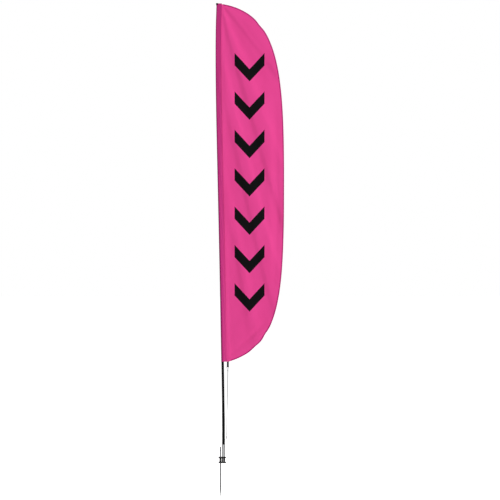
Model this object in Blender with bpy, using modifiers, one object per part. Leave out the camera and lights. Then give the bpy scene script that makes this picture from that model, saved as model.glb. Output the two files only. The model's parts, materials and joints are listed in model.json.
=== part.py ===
"""Feather flag on a turning ground spike, built as the separate pieces that it comes apart into.

Metres, +Z up. The origin is on the spindle's axis, at the underside of the bracket, which rests on the
ground. +X points from the pole to the sail's free edge. The rotor turns about Z on two ball bearings,
and the mast, with the pole and all of the flag, lifts off the rotor's spigot along Z.
"""

import math

import bmesh
import bpy
from mathutils import Vector
from mathutils.geometry import interpolate_bezier

# Clearances.
SEAT_GAP = 0.0003  # between two pieces that touch, or that are pressed, screwed or sewn together
RUNNING_GAP = 0.0013  # between the top plate and the turning rotor
SHAFT_PASSAGE = 0.0015  # round the shaft's collar, in the top plate
PIN_PLAY = 0.0006  # round the drive pin, in the pole's notch
MERGE = 0.00001

# Smoothness of round shapes.
FINE_STEPS = 32
SMALL_STEPS = 20
ARC_STEPS = 14
GROOVE_STEPS = 4
O_RING_STEPS = 8
BALL_SEGMENTS = 10
BALL_RINGS = 6
EDGE_SEGMENTS = 2
POLE_BEVEL = 10
PIN_BEVEL = 6
HOLE_BEVEL = 4
RING_BEVEL = 3
THIN_BEVEL = 2
SHARP_ANGLE = math.radians(35)

# Ground spike, a pointed rod with its driving end above the bracket.
SPIKE_RADIUS = 0.0047
SPIKE_TOP = 0.130
SPIKE_LENGTH = 0.400
SPIKE_POINT = 0.055
SPIKE_TIP_RADIUS = 0.0006

# Bracket: two plates that hold the spike's collar and the spindle's hub.
BRACKET_HEIGHT = 0.048
PLATE_THICKNESS = 0.008
PLATE_SPINDLE_RADIUS = 0.0215
PLATE_SPIKE_RADIUS = 0.0165
PLATE_EDGE = 0.0016
COLLAR_WALL = 0.0032
TUBES_APART = 0.0023  # between the hub and the spike's collar

# Ball bearings, 8 x 22 x 7 mm, and the hub that holds them.
BEARING_BORE_RADIUS = 0.0043
BEARING_RADIUS = 0.011
BEARING_WIDTH = 0.007
INNER_SHOULDER_RADIUS = 0.00605
OUTER_SHOULDER_RADIUS = 0.00895
BALL_PITCH_RADIUS = 0.0075
BALL_RADIUS = 0.00198
BALL_COUNT = 7
CAGE_HALF_WIDTH = 0.0009
CAGE_HALF_DEPTH = 0.0004
HUB_WALL = 0.0022
HUB_LIP_RADIUS = 0.0095

# Shaft, with what keeps it in the bearings.
COLLAR_RADIUS = 0.006
STEM_RADIUS = 0.005
STEM_LENGTH = 0.045
WASHER_RADIUS = 0.0078
WASHER_THICKNESS = 0.001
CLIP_THICKNESS = 0.0009
CLIP_WIDTH = 0.0028
CLIP_GROOVE_DEPTH = 0.0008
CLIP_OPENING = math.radians(70)
SHAFT_TAIL = 0.0016
SHAFT_END_ROOM = 0.0024  # under the shaft, inside the hub
CHAMFER = 0.0006

# Rotor: the bright spindle that stands on the shaft, and its spigot inside the pole.
ROTOR_STEP_IN = 0.00075  # how much slimmer the rotor is than the pole that stands on it
ROTOR_SHOULDER = 0.147
SPIGOT_LENGTH = 0.110
SPIGOT_CLEARANCE = 0.0007
SPIGOT_CHAMFER = 0.002
O_RING_RADIUS = 0.001
O_RING_PROUD = 0.0004
LOWER_O_RING_HEIGHT = 0.022  # above the rotor's shoulder
UPPER_O_RING_DEPTH = 0.016  # under the spigot's top
PIN_RADIUS = 0.003
PIN_HEIGHT = 0.0046
PIN_DEPTH = 0.004
PIN_PROUD = 0.003

# Pole: four sections, joined by ferrules, bowed by the pull of the sail.
POLE_SECTION_LENGTH = 0.877  # of the lower three; the top one is what is left
POLE_JOINT_COUNT = 3
METAL_SECTIONS = 2
FOOT_RADIUS = 0.0115
FOOT_HEIGHT = 0.300
MAIN_RADIUS = 0.010
MAIN_HEIGHT = 0.540
TIP_RADIUS = 0.0035
POLE_WALL = 0.0014
POLE_SPANS = 9
FERRULE_LENGTH = 0.120
FERRULE_SPANS = 4
BOW_CLEARANCE = 0.005  # the pole starts to bow this far above the spigot
BOW_REACH = 0.080
BOW_POWER = 1.35
BOW_RETURN = 0.36
BOW_RETURN_POWER = 6.8
PLUG_STEM = 0.014
PLUG_DOME = 0.0035
PLUG_CURVE = ((0, 1), (0.6, 0.8), (1, 0.3), (1, 0))  # the dome's outline, as shares of radius and height

# Sail: its outline is two Bezier arcs that meet at the widest point. Handles are offsets (x, z).
SAIL_BOTTOM = 0.805
SAIL_HEIGHT = 2.848
SAIL_WIDTH = 0.481  # from the spindle's axis to the widest point
SAIL_WIDEST_HEIGHT = 1.474  # above the sail's bottom
TIP_HANDLE = (0.491, -0.052)
UPPER_PULL = 0.853
LOWER_PULL = 0.938
CORNER_HANDLE = (0.428, 0.130)
CORNER_FROM_SEAM = 0.0146
TIP_ROOM = 0.0085  # between the pole's top and the sleeve's
SAIL_THICKNESS = 0.0006
SAIL_ARC_POINTS = 30
SLEEVE_WIDTH = 0.044
SLEEVE_EASE = 0.0010
SLEEVE_CLOTH = 0.0008
SLEEVE_EDGE_RADIUS = 0.0016
SLEEVE_SPANS = 18
SLEEVE_STEPS = 7
PATCH_LENGTH = 0.016
PATCH_WIDTH = 0.009
PATCH_THICKNESS = 0.0022

# Lower corner: webbing tab, ring, elastic cord and the eye that it is hooked to on the pole.
TAB_FROM_SEAM = 0.0016
TAB_WIDTH = 0.015
TAB_THICKNESS = 0.0012
TAB_SEWN_LENGTH = 0.022
TAB_KNEE = 0.015  # where the webbing's two ends meet, above the ring's bar
TAB_WRAP = math.radians(200)
RING_DROP = 0.0415  # from the sail's bottom to the ring's bar
RING_WIRE = 0.0016
RING_HALF_WIDTH = 0.0098
RING_DEPTH = 0.016
EYE_ABOVE_RIM = 0.0407
EYE_REACH = 0.0122  # from the pole's surface to the middle of the eye
EYE_RADIUS = 0.0046
EYE_WIRE = 0.0013
EYE_SEAT_DEPTH = 0.0010
EYE_WRAP = math.radians(305)
CORD_RADIUS = 0.002
CORD_POINT_SPACING = 0.011
CRIMP_RADIUS = 0.0034
CRIMP_LENGTH = 0.013
CRIMP_INSET = 0.004

# Sizes and heights that follow from the ones above.
HUB_RADIUS = BEARING_RADIUS + SEAT_GAP + HUB_WALL
SPIKE_BORE_RADIUS = SPIKE_RADIUS + SEAT_GAP
SPIKE_OFFSET = HUB_RADIUS + TUBES_APART + SPIKE_BORE_RADIUS + COLLAR_WALL
PLATE_GAP_LOW = PLATE_THICKNESS + SEAT_GAP
PLATE_GAP_HIGH = BRACKET_HEIGHT - PLATE_THICKNESS - SEAT_GAP
UPPER_BEARING_BOTTOM = PLATE_GAP_HIGH - BEARING_WIDTH
SHAFT_BOTTOM = PLATE_GAP_LOW + SHAFT_END_ROOM
CLIP_BOTTOM = SHAFT_BOTTOM + SHAFT_TAIL + SEAT_GAP
CLIP_TOP = CLIP_BOTTOM + CLIP_THICKNESS
WASHER_TOP = CLIP_TOP + SEAT_GAP + WASHER_THICKNESS
LOWER_BEARING_BOTTOM = WASHER_TOP + SEAT_GAP
LIP_BOTTOM = LOWER_BEARING_BOTTOM + BEARING_WIDTH + SEAT_GAP
LIP_TOP = UPPER_BEARING_BOTTOM - SEAT_GAP
COLLAR_TOP = BRACKET_HEIGHT + RUNNING_GAP
ROTOR_BOTTOM = COLLAR_TOP + SEAT_GAP
ROTOR_RADIUS = FOOT_RADIUS - ROTOR_STEP_IN
STEM_TOP = ROTOR_BOTTOM + STEM_LENGTH
SPIGOT_TOP = ROTOR_SHOULDER + SPIGOT_LENGTH
SPIGOT_RADIUS = FOOT_RADIUS - POLE_WALL - SPIGOT_CLEARANCE
O_RING_HEIGHTS = {
    "lower_o_ring": ROTOR_SHOULDER + LOWER_O_RING_HEIGHT,
    "upper_o_ring": SPIGOT_TOP - UPPER_O_RING_DEPTH,
}
JOURNAL_RADIUS = BEARING_BORE_RADIUS - SEAT_GAP
PIN_AXIS_HEIGHT = ROTOR_SHOULDER + PIN_HEIGHT
POLE_BOTTOM = ROTOR_SHOULDER + SEAT_GAP
POLE_JOINTS = [POLE_BOTTOM + POLE_SECTION_LENGTH * (i + 1) for i in range(POLE_JOINT_COUNT)]
SAIL_TOP = SAIL_BOTTOM + SAIL_HEIGHT
POLE_TOP = SAIL_TOP - TIP_ROOM
BOW_START = SPIGOT_TOP + BOW_CLEARANCE
RING_BAR_HEIGHT = SAIL_BOTTOM - RING_DROP
EYE_HEIGHT = POLE_BOTTOM + EYE_ABOVE_RIM
EYE_X = FOOT_RADIUS + EYE_REACH
CORD_TOP = RING_BAR_HEIGHT - RING_DEPTH - RING_WIRE - SEAT_GAP
CORD_BOTTOM = EYE_HEIGHT + EYE_RADIUS + EYE_WIRE + SEAT_GAP


# ---------------------------------------------------------------- scene, collections and materials


def clear_scene():
    for obj in list(bpy.data.objects):
        bpy.data.objects.remove(obj, do_unlink=True)


def new_collection(name):
    collection = bpy.data.collections.new(name)
    bpy.context.scene.collection.children.link(collection)
    return collection


def new_material(name, color, roughness, metallic=0.0):
    material = bpy.data.materials.new(name)
    material.use_nodes = True
    shader = material.node_tree.nodes["Principled BSDF"]
    shader.inputs["Base Color"].default_value = (*color, 1.0)
    shader.inputs["Roughness"].default_value = roughness
    shader.inputs["Metallic"].default_value = metallic
    return material


def place(name, data, material, location=(0, 0, 0), rotation=(0, 0, 0), parent=None):
    """A new object of the flag, with its material."""
    obj = bpy.data.objects.new(name, data)
    obj.location = location
    obj.rotation_euler = rotation
    obj.parent = parent
    data.materials.append(material)
    flag.objects.link(obj)
    return obj


def hide_helper(obj):
    """Puts a cutter, or a shape that is only joined to another, with the helpers."""
    for collection in obj.users_collection:
        collection.objects.unlink(obj)
    helpers.objects.link(obj)
    obj.hide_render = True
    obj.display_type = "WIRE"
    return obj


def axis_empty(name):
    """An empty on the spindle's axis, which carries the pieces that move together."""
    empty = bpy.data.objects.new(name, None)
    flag.objects.link(empty)
    return empty


# ---------------------------------------------------------------- shapes


def shade_round(mesh):
    mesh.shade_smooth()
    mesh.set_sharp_from_angle(angle=SHARP_ANGLE)


def baked(obj):
    """Turns a curve, or an object with modifiers, into a welded mesh object with the same name and place."""
    bpy.context.view_layer.update()
    graph = bpy.context.evaluated_depsgraph_get()
    mesh = bpy.data.meshes.new_from_object(obj.evaluated_get(graph))
    shape = bmesh.new()
    shape.from_mesh(mesh)
    bmesh.ops.remove_doubles(shape, verts=shape.verts, dist=MERGE)
    shape.to_mesh(mesh)
    shape.free()
    shade_round(mesh)
    name = obj.name
    material = obj.data.materials[0]
    location = tuple(obj.location)
    rotation = tuple(obj.rotation_euler)
    parent = obj.parent
    bpy.data.objects.remove(obj, do_unlink=True)
    mesh.materials.clear()
    return place(name, mesh, material, location, rotation, parent)


def turned(name, profile, material, closed=False, steps=FINE_STEPS, **where):
    """A profile of (radius, height) points, running down its outer side, turned about Z."""
    mesh = bpy.data.meshes.new(name)
    edges = [(i, i + 1) for i in range(len(profile) - 1)]
    if closed:
        edges.append((len(profile) - 1, 0))
    mesh.from_pydata([(radius, 0, height) for radius, height in profile], edges, [])
    obj = place(name, mesh, material, **where)
    screw = obj.modifiers.new("turn", "SCREW")
    screw.steps = steps
    screw.render_steps = steps
    screw.use_merge_vertices = True
    screw.merge_threshold = MERGE
    return baked(obj)


def ring(name, inner, outer, bottom, top, material, **where):
    """A plain turned tube."""
    profile = [(outer, top), (outer, bottom), (inner, bottom), (inner, top)]
    return turned(name, profile, material, closed=True, **where)


def arc(centre, radius, start, end, steps):
    """Points of an arc about (centre[0], centre[1]), from one angle to another."""
    angles = [start + (end - start) * i / steps for i in range(steps + 1)]
    return [(centre[0] + radius * math.cos(a), centre[1] + radius * math.sin(a)) for a in angles]


def link_outline(left, left_radius, right, right_radius, steps=ARC_STEPS):
    """The outline round two circles on the X axis and the straight lines that touch both."""
    turn = math.acos((left_radius - right_radius) / (right - left))
    right_arc = arc((right, 0), right_radius, -turn, turn, steps)
    return right_arc + arc((left, 0), left_radius, turn, math.tau - turn, steps)


def extruded(name, outlines, thickness, material, **where):
    """Flat outlines, the first one outside and the rest as holes, given a thickness about z = 0."""
    curve = bpy.data.curves.new(name, "CURVE")
    curve.dimensions = "2D"
    curve.fill_mode = "BOTH"
    curve.extrude = thickness / 2
    for outline in outlines:
        spline = curve.splines.new("POLY")
        spline.points.add(len(outline) - 1)
        spline.use_cyclic_u = True
        for point, (x, y) in zip(spline.points, outline):
            point.co = (x, y, 0, 1)
    return baked(place(name, curve, material, **where))


def tube(name, path, material, radius, radii=None, caps=True, cyclic=False, bevel=POLE_BEVEL, **where):
    """A round tube or rod along a path, with a radius for each point where it tapers."""
    curve = bpy.data.curves.new(name, "CURVE")
    curve.dimensions = "3D"
    curve.bevel_depth = radius
    curve.bevel_resolution = bevel
    curve.use_fill_caps = caps
    spline = curve.splines.new("POLY")
    spline.points.add(len(path) - 1)
    spline.use_cyclic_u = cyclic
    for i, (point, place_on_path) in enumerate(zip(spline.points, path)):
        point.co = (*place_on_path, 1)
        point.radius = radii[i] / radius if radii else 1
    return baked(place(name, curve, material, **where))


def round_edges(obj, width):
    bevel = obj.modifiers.new("rounded edges", "BEVEL")
    bevel.width = width
    bevel.segments = EDGE_SEGMENTS
    bevel.limit_method = "ANGLE"
    bevel.angle_limit = SHARP_ANGLE
    return obj


def combine(obj, other, operation):
    boolean = obj.modifiers.new(operation.lower(), "BOOLEAN")
    boolean.operation = operation
    boolean.solver = "EXACT"
    boolean.object = hide_helper(other)
    return obj


# ---------------------------------------------------------------- bracket and spike


def build_spike():
    tip = SPIKE_TOP - SPIKE_LENGTH
    profile = [
        (0, SPIKE_TOP),
        (SPIKE_RADIUS - CHAMFER, SPIKE_TOP),
        (SPIKE_RADIUS, SPIKE_TOP - CHAMFER),
        (SPIKE_RADIUS, tip + SPIKE_POINT),
        (SPIKE_TIP_RADIUS, tip),
        (0, tip),
    ]
    turned("ground_spike", profile, spike_steel, location=(-SPIKE_OFFSET, 0, 0))


def build_bracket():
    outline = link_outline(-SPIKE_OFFSET, PLATE_SPIKE_RADIUS, 0, PLATE_SPINDLE_RADIUS)
    spike_hole = (-SPIKE_OFFSET, SPIKE_BORE_RADIUS)
    shaft_hole = (0, COLLAR_RADIUS + SHAFT_PASSAGE)
    plates = {
        "bracket_bottom_plate": (PLATE_THICKNESS / 2, [spike_hole]),
        "bracket_top_plate": (BRACKET_HEIGHT - PLATE_THICKNESS / 2, [spike_hole, shaft_hole]),
    }
    for name, (height, holes) in plates.items():
        plate = extruded(name, [outline], PLATE_THICKNESS, bracket_black, location=(0, 0, height))
        round_edges(plate, PLATE_EDGE)
        for number, (x, radius) in enumerate(holes):
            path = [(x, 0, height - PLATE_THICKNESS), (x, 0, height + PLATE_THICKNESS)]
            drill = tube(f"{name}_hole_{number}", path, bracket_black, radius)
            combine(plate, drill, "DIFFERENCE")
    ring(
        "spike_collar",
        SPIKE_BORE_RADIUS,
        SPIKE_BORE_RADIUS + COLLAR_WALL,
        PLATE_GAP_LOW,
        PLATE_GAP_HIGH,
        bracket_black,
        location=(-SPIKE_OFFSET, 0, 0),
    )


def build_hub():
    """A tube with a lip inside it, which keeps the two bearings apart."""
    seat = BEARING_RADIUS + SEAT_GAP
    profile = [
        (HUB_RADIUS, PLATE_GAP_HIGH),
        (HUB_RADIUS, PLATE_GAP_LOW),
        (seat, PLATE_GAP_LOW),
        (seat, LIP_BOTTOM),
        (HUB_LIP_RADIUS, LIP_BOTTOM),
        (HUB_LIP_RADIUS, LIP_TOP),
        (seat, LIP_TOP),
        (seat, PLATE_GAP_HIGH),
    ]
    turned("spindle_hub", profile, hub_steel, closed=True)


# ---------------------------------------------------------------- bearings and shaft


def groove_arc(shoulder, middle, facing):
    """The raceway's arc, cut into a ring's shoulder. facing is the middle angle of the arc."""
    radius = BALL_RADIUS + SEAT_GAP
    reach = math.acos(abs(BALL_PITCH_RADIUS - shoulder) / radius)
    return arc((BALL_PITCH_RADIUS, middle), radius, facing - reach, facing + reach, GROOVE_STEPS)


def build_bearing(name, bottom, rotor_axis):
    top = bottom + BEARING_WIDTH
    middle = bottom + BEARING_WIDTH / 2
    inner = [(INNER_SHOULDER_RADIUS, top)]
    inner += groove_arc(INNER_SHOULDER_RADIUS, middle, math.pi)
    inner += [(INNER_SHOULDER_RADIUS, bottom), (BEARING_BORE_RADIUS, bottom), (BEARING_BORE_RADIUS, top)]
    outer = [(BEARING_RADIUS, top), (BEARING_RADIUS, bottom), (OUTER_SHOULDER_RADIUS, bottom)]
    outer += groove_arc(OUTER_SHOULDER_RADIUS, middle, 0)
    outer += [(OUTER_SHOULDER_RADIUS, top)]
    turned(name + "_inner_ring", inner, bearing_steel, closed=True, steps=SMALL_STEPS, parent=rotor_axis)
    turned(name + "_outer_ring", outer, bearing_steel, closed=True, steps=SMALL_STEPS)
    cage = ring(
        name + "_balls",
        BALL_PITCH_RADIUS - CAGE_HALF_DEPTH,
        BALL_PITCH_RADIUS + CAGE_HALF_DEPTH,
        middle - CAGE_HALF_WIDTH,
        middle + CAGE_HALF_WIDTH,
        bearing_steel,
        steps=SMALL_STEPS,
    )
    combine(cage, ball_set(name + "_ball_set", middle), "UNION")


def ball_set(name, height):
    """The bearing's balls, spaced evenly on the pitch circle, as a helper that is joined to the cage."""
    shape = bmesh.new()
    for i in range(BALL_COUNT):
        angle = math.tau * i / BALL_COUNT
        centre = Vector((math.cos(angle), math.sin(angle), 0)) * BALL_PITCH_RADIUS + Vector((0, 0, height))
        made = bmesh.ops.create_uvsphere(
            shape, u_segments=BALL_SEGMENTS, v_segments=BALL_RINGS, radius=BALL_RADIUS
        )
        bmesh.ops.translate(shape, verts=made["verts"], vec=centre)
    mesh = bpy.data.meshes.new(name)
    shape.to_mesh(mesh)
    shape.free()
    return place(name, mesh, bearing_steel)


def build_shaft(rotor_axis):
    groove = JOURNAL_RADIUS - CLIP_GROOVE_DEPTH
    profile = [
        (0, STEM_TOP),
        (STEM_RADIUS - CHAMFER, STEM_TOP),
        (STEM_RADIUS, STEM_TOP - CHAMFER),
        (STEM_RADIUS, COLLAR_TOP),
        (COLLAR_RADIUS, COLLAR_TOP),
        (COLLAR_RADIUS, PLATE_GAP_HIGH + SEAT_GAP),
        (JOURNAL_RADIUS, PLATE_GAP_HIGH + SEAT_GAP),
        (JOURNAL_RADIUS, CLIP_TOP + SEAT_GAP),
        (groove, CLIP_TOP + SEAT_GAP),
        (groove, CLIP_BOTTOM - SEAT_GAP),
        (JOURNAL_RADIUS, CLIP_BOTTOM - SEAT_GAP),
        (JOURNAL_RADIUS, SHAFT_BOTTOM + CHAMFER),
        (JOURNAL_RADIUS - CHAMFER, SHAFT_BOTTOM),
        (0, SHAFT_BOTTOM),
    ]
    turned("spindle_shaft", profile, shaft_steel, parent=rotor_axis)
    ring(
        "bearing_spacer",
        BEARING_BORE_RADIUS,
        INNER_SHOULDER_RADIUS,
        LOWER_BEARING_BOTTOM + BEARING_WIDTH + SEAT_GAP,
        UPPER_BEARING_BOTTOM - SEAT_GAP,
        shaft_steel,
        steps=SMALL_STEPS,
        parent=rotor_axis,
    )
    ring(
        "thrust_washer",
        BEARING_BORE_RADIUS,
        WASHER_RADIUS,
        WASHER_TOP - WASHER_THICKNESS,
        WASHER_TOP,
        shaft_steel,
        steps=SMALL_STEPS,
        parent=rotor_axis,
    )
    inner = groove + SEAT_GAP
    start, end = CLIP_OPENING / 2, math.tau - CLIP_OPENING / 2
    outline = arc((0, 0), inner + CLIP_WIDTH, start, end, SMALL_STEPS)
    outline += arc((0, 0), inner, end, start, SMALL_STEPS)
    height = (CLIP_TOP + CLIP_BOTTOM) / 2
    extruded(
        "shaft_circlip",
        [outline],
        CLIP_THICKNESS,
        shaft_steel,
        location=(0, 0, height),
        parent=rotor_axis,
    )


# ---------------------------------------------------------------- rotor


def o_ring_groove(height):
    """The groove's four corners on the spigot, from top to bottom."""
    half = O_RING_RADIUS + SEAT_GAP
    floor = SPIGOT_RADIUS + O_RING_PROUD - 2 * O_RING_RADIUS - SEAT_GAP
    return [
        (SPIGOT_RADIUS, height + half),
        (floor, height + half),
        (floor, height - half),
        (SPIGOT_RADIUS, height - half),
    ]


def build_rotor(rotor_axis):
    bore = STEM_RADIUS + SEAT_GAP
    bore_top = STEM_TOP + SEAT_GAP
    profile = [
        (0, SPIGOT_TOP),
        (SPIGOT_RADIUS - SPIGOT_CHAMFER, SPIGOT_TOP),
        (SPIGOT_RADIUS, SPIGOT_TOP - SPIGOT_CHAMFER),
    ]
    for name in ("upper_o_ring", "lower_o_ring"):
        profile += o_ring_groove(O_RING_HEIGHTS[name])
    profile += [
        (SPIGOT_RADIUS, ROTOR_SHOULDER),
        (ROTOR_RADIUS, ROTOR_SHOULDER),
        (ROTOR_RADIUS, ROTOR_BOTTOM + CHAMFER),
        (ROTOR_RADIUS - CHAMFER, ROTOR_BOTTOM),
        (bore, ROTOR_BOTTOM),
        (bore, bore_top),
        (0, bore_top),
    ]
    rotor = turned("rotor_spindle", profile, chrome, parent=rotor_axis)
    hole = drive_pin_shape("rotor_pin_hole", SEAT_GAP, rotor_axis)
    combine(rotor, hole, "DIFFERENCE")
    drive_pin_shape("drive_pin", 0, rotor_axis)
    for name, height in O_RING_HEIGHTS.items():
        centre = (SPIGOT_RADIUS + O_RING_PROUD - O_RING_RADIUS, height)
        section = arc(centre, O_RING_RADIUS, math.pi / 2, -1.5 * math.pi, O_RING_STEPS)[:-1]
        turned(name, section, rubber, closed=True, steps=SMALL_STEPS, parent=rotor_axis)


def drive_pin_shape(name, clearance, rotor_axis):
    """The pin lies along X, sunk in the spigot and standing proud of the pole's wall."""
    start = SPIGOT_RADIUS - PIN_DEPTH - clearance
    end = FOOT_RADIUS + PIN_PROUD + clearance
    path = [(start, 0, PIN_AXIS_HEIGHT), (end, 0, PIN_AXIS_HEIGHT)]
    return tube(name, path, shaft_steel, PIN_RADIUS + clearance, bevel=PIN_BEVEL, parent=rotor_axis)


# ---------------------------------------------------------------- pole


def pole_x(height):
    """How far the pull of the sail bows the pole's centre line towards -X."""
    share = max(0.0, (height - BOW_START) / (POLE_TOP - BOW_START))
    return -BOW_REACH * share**BOW_POWER * (1 - BOW_RETURN * share**BOW_RETURN_POWER)


def pole_radius(height):
    """Wide at the foot, narrower from MAIN_HEIGHT, and tapering from the first joint to the tip."""
    if height > POLE_JOINTS[0]:
        share = (height - POLE_JOINTS[0]) / (POLE_TOP - POLE_JOINTS[0])
        return MAIN_RADIUS + (TIP_RADIUS - MAIN_RADIUS) * share
    share = min(1.0, max(0.0, (height - FOOT_HEIGHT) / (MAIN_HEIGHT - FOOT_HEIGHT)))
    return FOOT_RADIUS + (MAIN_RADIUS - FOOT_RADIUS) * share * share * (3 - 2 * share)


def along_pole(bottom, top, spans):
    heights = [bottom + (top - bottom) * i / spans for i in range(spans + 1)]
    return heights, [(pole_x(height), 0, height) for height in heights]


def build_pole(mast_axis):
    ends = (POLE_BOTTOM, *POLE_JOINTS, POLE_TOP)
    for number in range(1, len(ends)):
        bottom = ends[number - 1] + (SEAT_GAP / 2 if number > 1 else 0)
        top = ends[number] - (SEAT_GAP / 2 if number < len(ends) - 1 else 0)
        heights, path = along_pole(bottom, top, POLE_SPANS)
        radii = [pole_radius(height) for height in heights]
        material = pole_black if number <= METAL_SECTIONS else pole_fibreglass
        section = tube(
            f"pole_section_{number}",
            path,
            material,
            FOOT_RADIUS,
            radii,
            caps=False,
            parent=mast_axis,
        )
        wall = section.modifiers.new("wall", "SOLIDIFY")
        wall.thickness = POLE_WALL
        wall.offset = -1
        wall.use_even_offset = True
        if number == 1:
            cut_foot(section, mast_axis)
    for number, joint in enumerate(POLE_JOINTS, 1):
        half = FERRULE_LENGTH / 2
        heights, path = along_pole(joint - half, joint + half, FERRULE_SPANS)
        radii = [pole_radius(height) - POLE_WALL - SEAT_GAP for height in heights]
        tube(f"pole_ferrule_{number}", path, shaft_steel, FOOT_RADIUS, radii, parent=mast_axis)


def cut_foot(section, mast_axis):
    """The notch over the drive pin, open at the pole's rim, and the hole that the eye's shank sits in."""
    half = PIN_RADIUS + PIN_PLAY
    top = PIN_AXIS_HEIGHT + half
    bottom = ROTOR_SHOULDER - half
    outline = [(0, bottom), (2 * FOOT_RADIUS, bottom), (2 * FOOT_RADIUS, top), (0, top)]
    notch = extruded(
        "foot_notch", [outline], 2 * half, pole_black, rotation=(math.pi / 2, 0, 0), parent=mast_axis
    )
    combine(section, notch, "DIFFERENCE")
    path = [(FOOT_RADIUS - 2 * POLE_WALL, 0, EYE_HEIGHT), (2 * FOOT_RADIUS, 0, EYE_HEIGHT)]
    hole = tube("eye_hole", path, pole_black, EYE_WIRE + SEAT_GAP, bevel=HOLE_BEVEL, parent=mast_axis)
    combine(section, hole, "DIFFERENCE")


def build_tip_plug(mast_axis):
    stem = TIP_RADIUS - POLE_WALL - SEAT_GAP
    profile = [(TIP_RADIUS * across, SEAT_GAP + PLUG_DOME * up) for across, up in PLUG_CURVE]
    profile += [(stem, SEAT_GAP), (stem, -PLUG_STEM), (0, -PLUG_STEM)]
    slope = (pole_x(POLE_TOP) - pole_x(POLE_TOP - PLUG_STEM)) / PLUG_STEM
    turned(
        "tip_plug",
        profile,
        rubber,
        steps=SMALL_STEPS,
        location=(pole_x(POLE_TOP), 0, POLE_TOP),
        rotation=(0, math.atan(slope), 0),
        parent=mast_axis,
    )


# ---------------------------------------------------------------- flag


def sleeve_left(height):
    return pole_x(height) - pole_radius(height) - SLEEVE_EASE - SLEEVE_CLOTH


def seam_x(height):
    """The sleeve's closed edge, where the sail begins."""
    return sleeve_left(height) + SLEEVE_WIDTH


def build_sleeve(mast_axis):
    """A loft of teardrop outlines round the pole, open at the foot and shut at the tip."""
    shape = bmesh.new()
    rows = []
    for i in range(SLEEVE_SPANS + 1):
        height = SAIL_BOTTOM + SAIL_HEIGHT * i / SLEEVE_SPANS
        wide = pole_radius(height) + SLEEVE_EASE + SLEEVE_CLOTH
        edge = seam_x(height) - SLEEVE_EDGE_RADIUS
        outline = link_outline(pole_x(height), wide, edge, SLEEVE_EDGE_RADIUS, SLEEVE_STEPS)
        rows.append([shape.verts.new((x, y, height)) for x, y in outline])
    for low, high in zip(rows, rows[1:]):
        for i in range(len(low)):
            j = (i + 1) % len(low)
            shape.faces.new((low[i], low[j], high[j], high[i]))
    shape.faces.new(rows[-1])
    mesh = bpy.data.meshes.new("pole_sleeve")
    shape.to_mesh(mesh)
    shape.free()
    shade_round(mesh)
    sleeve = place("pole_sleeve", mesh, sail_pink, parent=mast_axis)
    cloth = sleeve.modifiers.new("cloth", "SOLIDIFY")
    cloth.thickness = SLEEVE_CLOTH
    cloth.offset = -1
    cloth.use_even_offset = True


def sail_edge():
    """Points down the sail's free edge, from the tip to the lower corner."""
    tip = Vector((pole_x(POLE_TOP), SAIL_TOP))
    widest = Vector((SAIL_WIDTH, SAIL_BOTTOM + SAIL_WIDEST_HEIGHT))
    corner = Vector((seam_x(SAIL_BOTTOM) + CORNER_FROM_SEAM, SAIL_BOTTOM))
    upper = (tip, tip + Vector(TIP_HANDLE), widest + Vector((0, UPPER_PULL)), widest)
    lower = (widest, widest - Vector((0, LOWER_PULL)), corner + Vector(CORNER_HANDLE), corner)
    points = []
    for handles in (upper, lower):
        curve = interpolate_bezier(*(handle.to_3d() for handle in handles), SAIL_ARC_POINTS)
        points += [(point.x, point.y) for point in curve[:-1]]
    return points + [tuple(corner)]


def build_sail(mast_axis):
    edge = [(x, z) for x, z in sail_edge() if x > seam_x(z) + SLEEVE_EDGE_RADIUS]
    top, bottom = edge[0][1], edge[-1][1]
    seam = []
    for i in range(SLEEVE_SPANS + 1):
        height = bottom + (top - bottom) * i / SLEEVE_SPANS
        seam.append((seam_x(height) + SEAT_GAP, height))
    extruded(
        "sail_panel",
        [seam + edge],
        SAIL_THICKNESS,
        sail_pink,
        rotation=(math.pi / 2, 0, 0),
        parent=mast_axis,
    )


def build_tip_patch(mast_axis):
    half = PATCH_WIDTH / 2
    reach = PATCH_LENGTH / 2 - half
    outline = link_outline(-reach, half, reach, half, SLEEVE_STEPS)
    height = SAIL_TOP + SEAT_GAP + PATCH_THICKNESS / 2
    extruded(
        "tip_patch",
        [outline],
        PATCH_THICKNESS,
        webbing_black,
        location=(pole_x(POLE_TOP), 0, height),
        parent=mast_axis,
    )


# ---------------------------------------------------------------- lower corner


def tab_x():
    """The middle of the webbing, and of the ring that it holds."""
    return seam_x(SAIL_BOTTOM) + TAB_FROM_SEAM + TAB_WIDTH / 2


def build_corner_tab(mast_axis):
    """Webbing folded round the ring's bar, with an end sewn on each face of the sail."""
    leg = SAIL_THICKNESS / 2 + SEAT_GAP + TAB_THICKNESS / 2
    loop = RING_WIRE + SEAT_GAP + TAB_THICKNESS / 2
    start = 1.5 * math.pi - TAB_WRAP / 2
    fold = arc((0, RING_BAR_HEIGHT), loop, start, start + TAB_WRAP, ARC_STEPS)
    knee = RING_BAR_HEIGHT + TAB_KNEE
    top = SAIL_BOTTOM + TAB_SEWN_LENGTH
    path = [(-leg, top), (-leg, knee), *fold, (leg, knee), (leg, top)]
    shape = bmesh.new()
    sides = []
    for x in (-TAB_WIDTH / 2, TAB_WIDTH / 2):
        sides.append([shape.verts.new((x, y, z)) for y, z in path])
    for i in range(len(path) - 1):
        shape.faces.new((sides[0][i], sides[0][i + 1], sides[1][i + 1], sides[1][i]))
    mesh = bpy.data.meshes.new("corner_tab")
    shape.to_mesh(mesh)
    shape.free()
    tab = place("corner_tab", mesh, webbing_black, location=(tab_x(), 0, 0), parent=mast_axis)
    webbing = tab.modifiers.new("webbing", "SOLIDIFY")
    webbing.thickness = TAB_THICKNESS
    webbing.offset = 0
    webbing.use_even_offset = True


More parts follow.
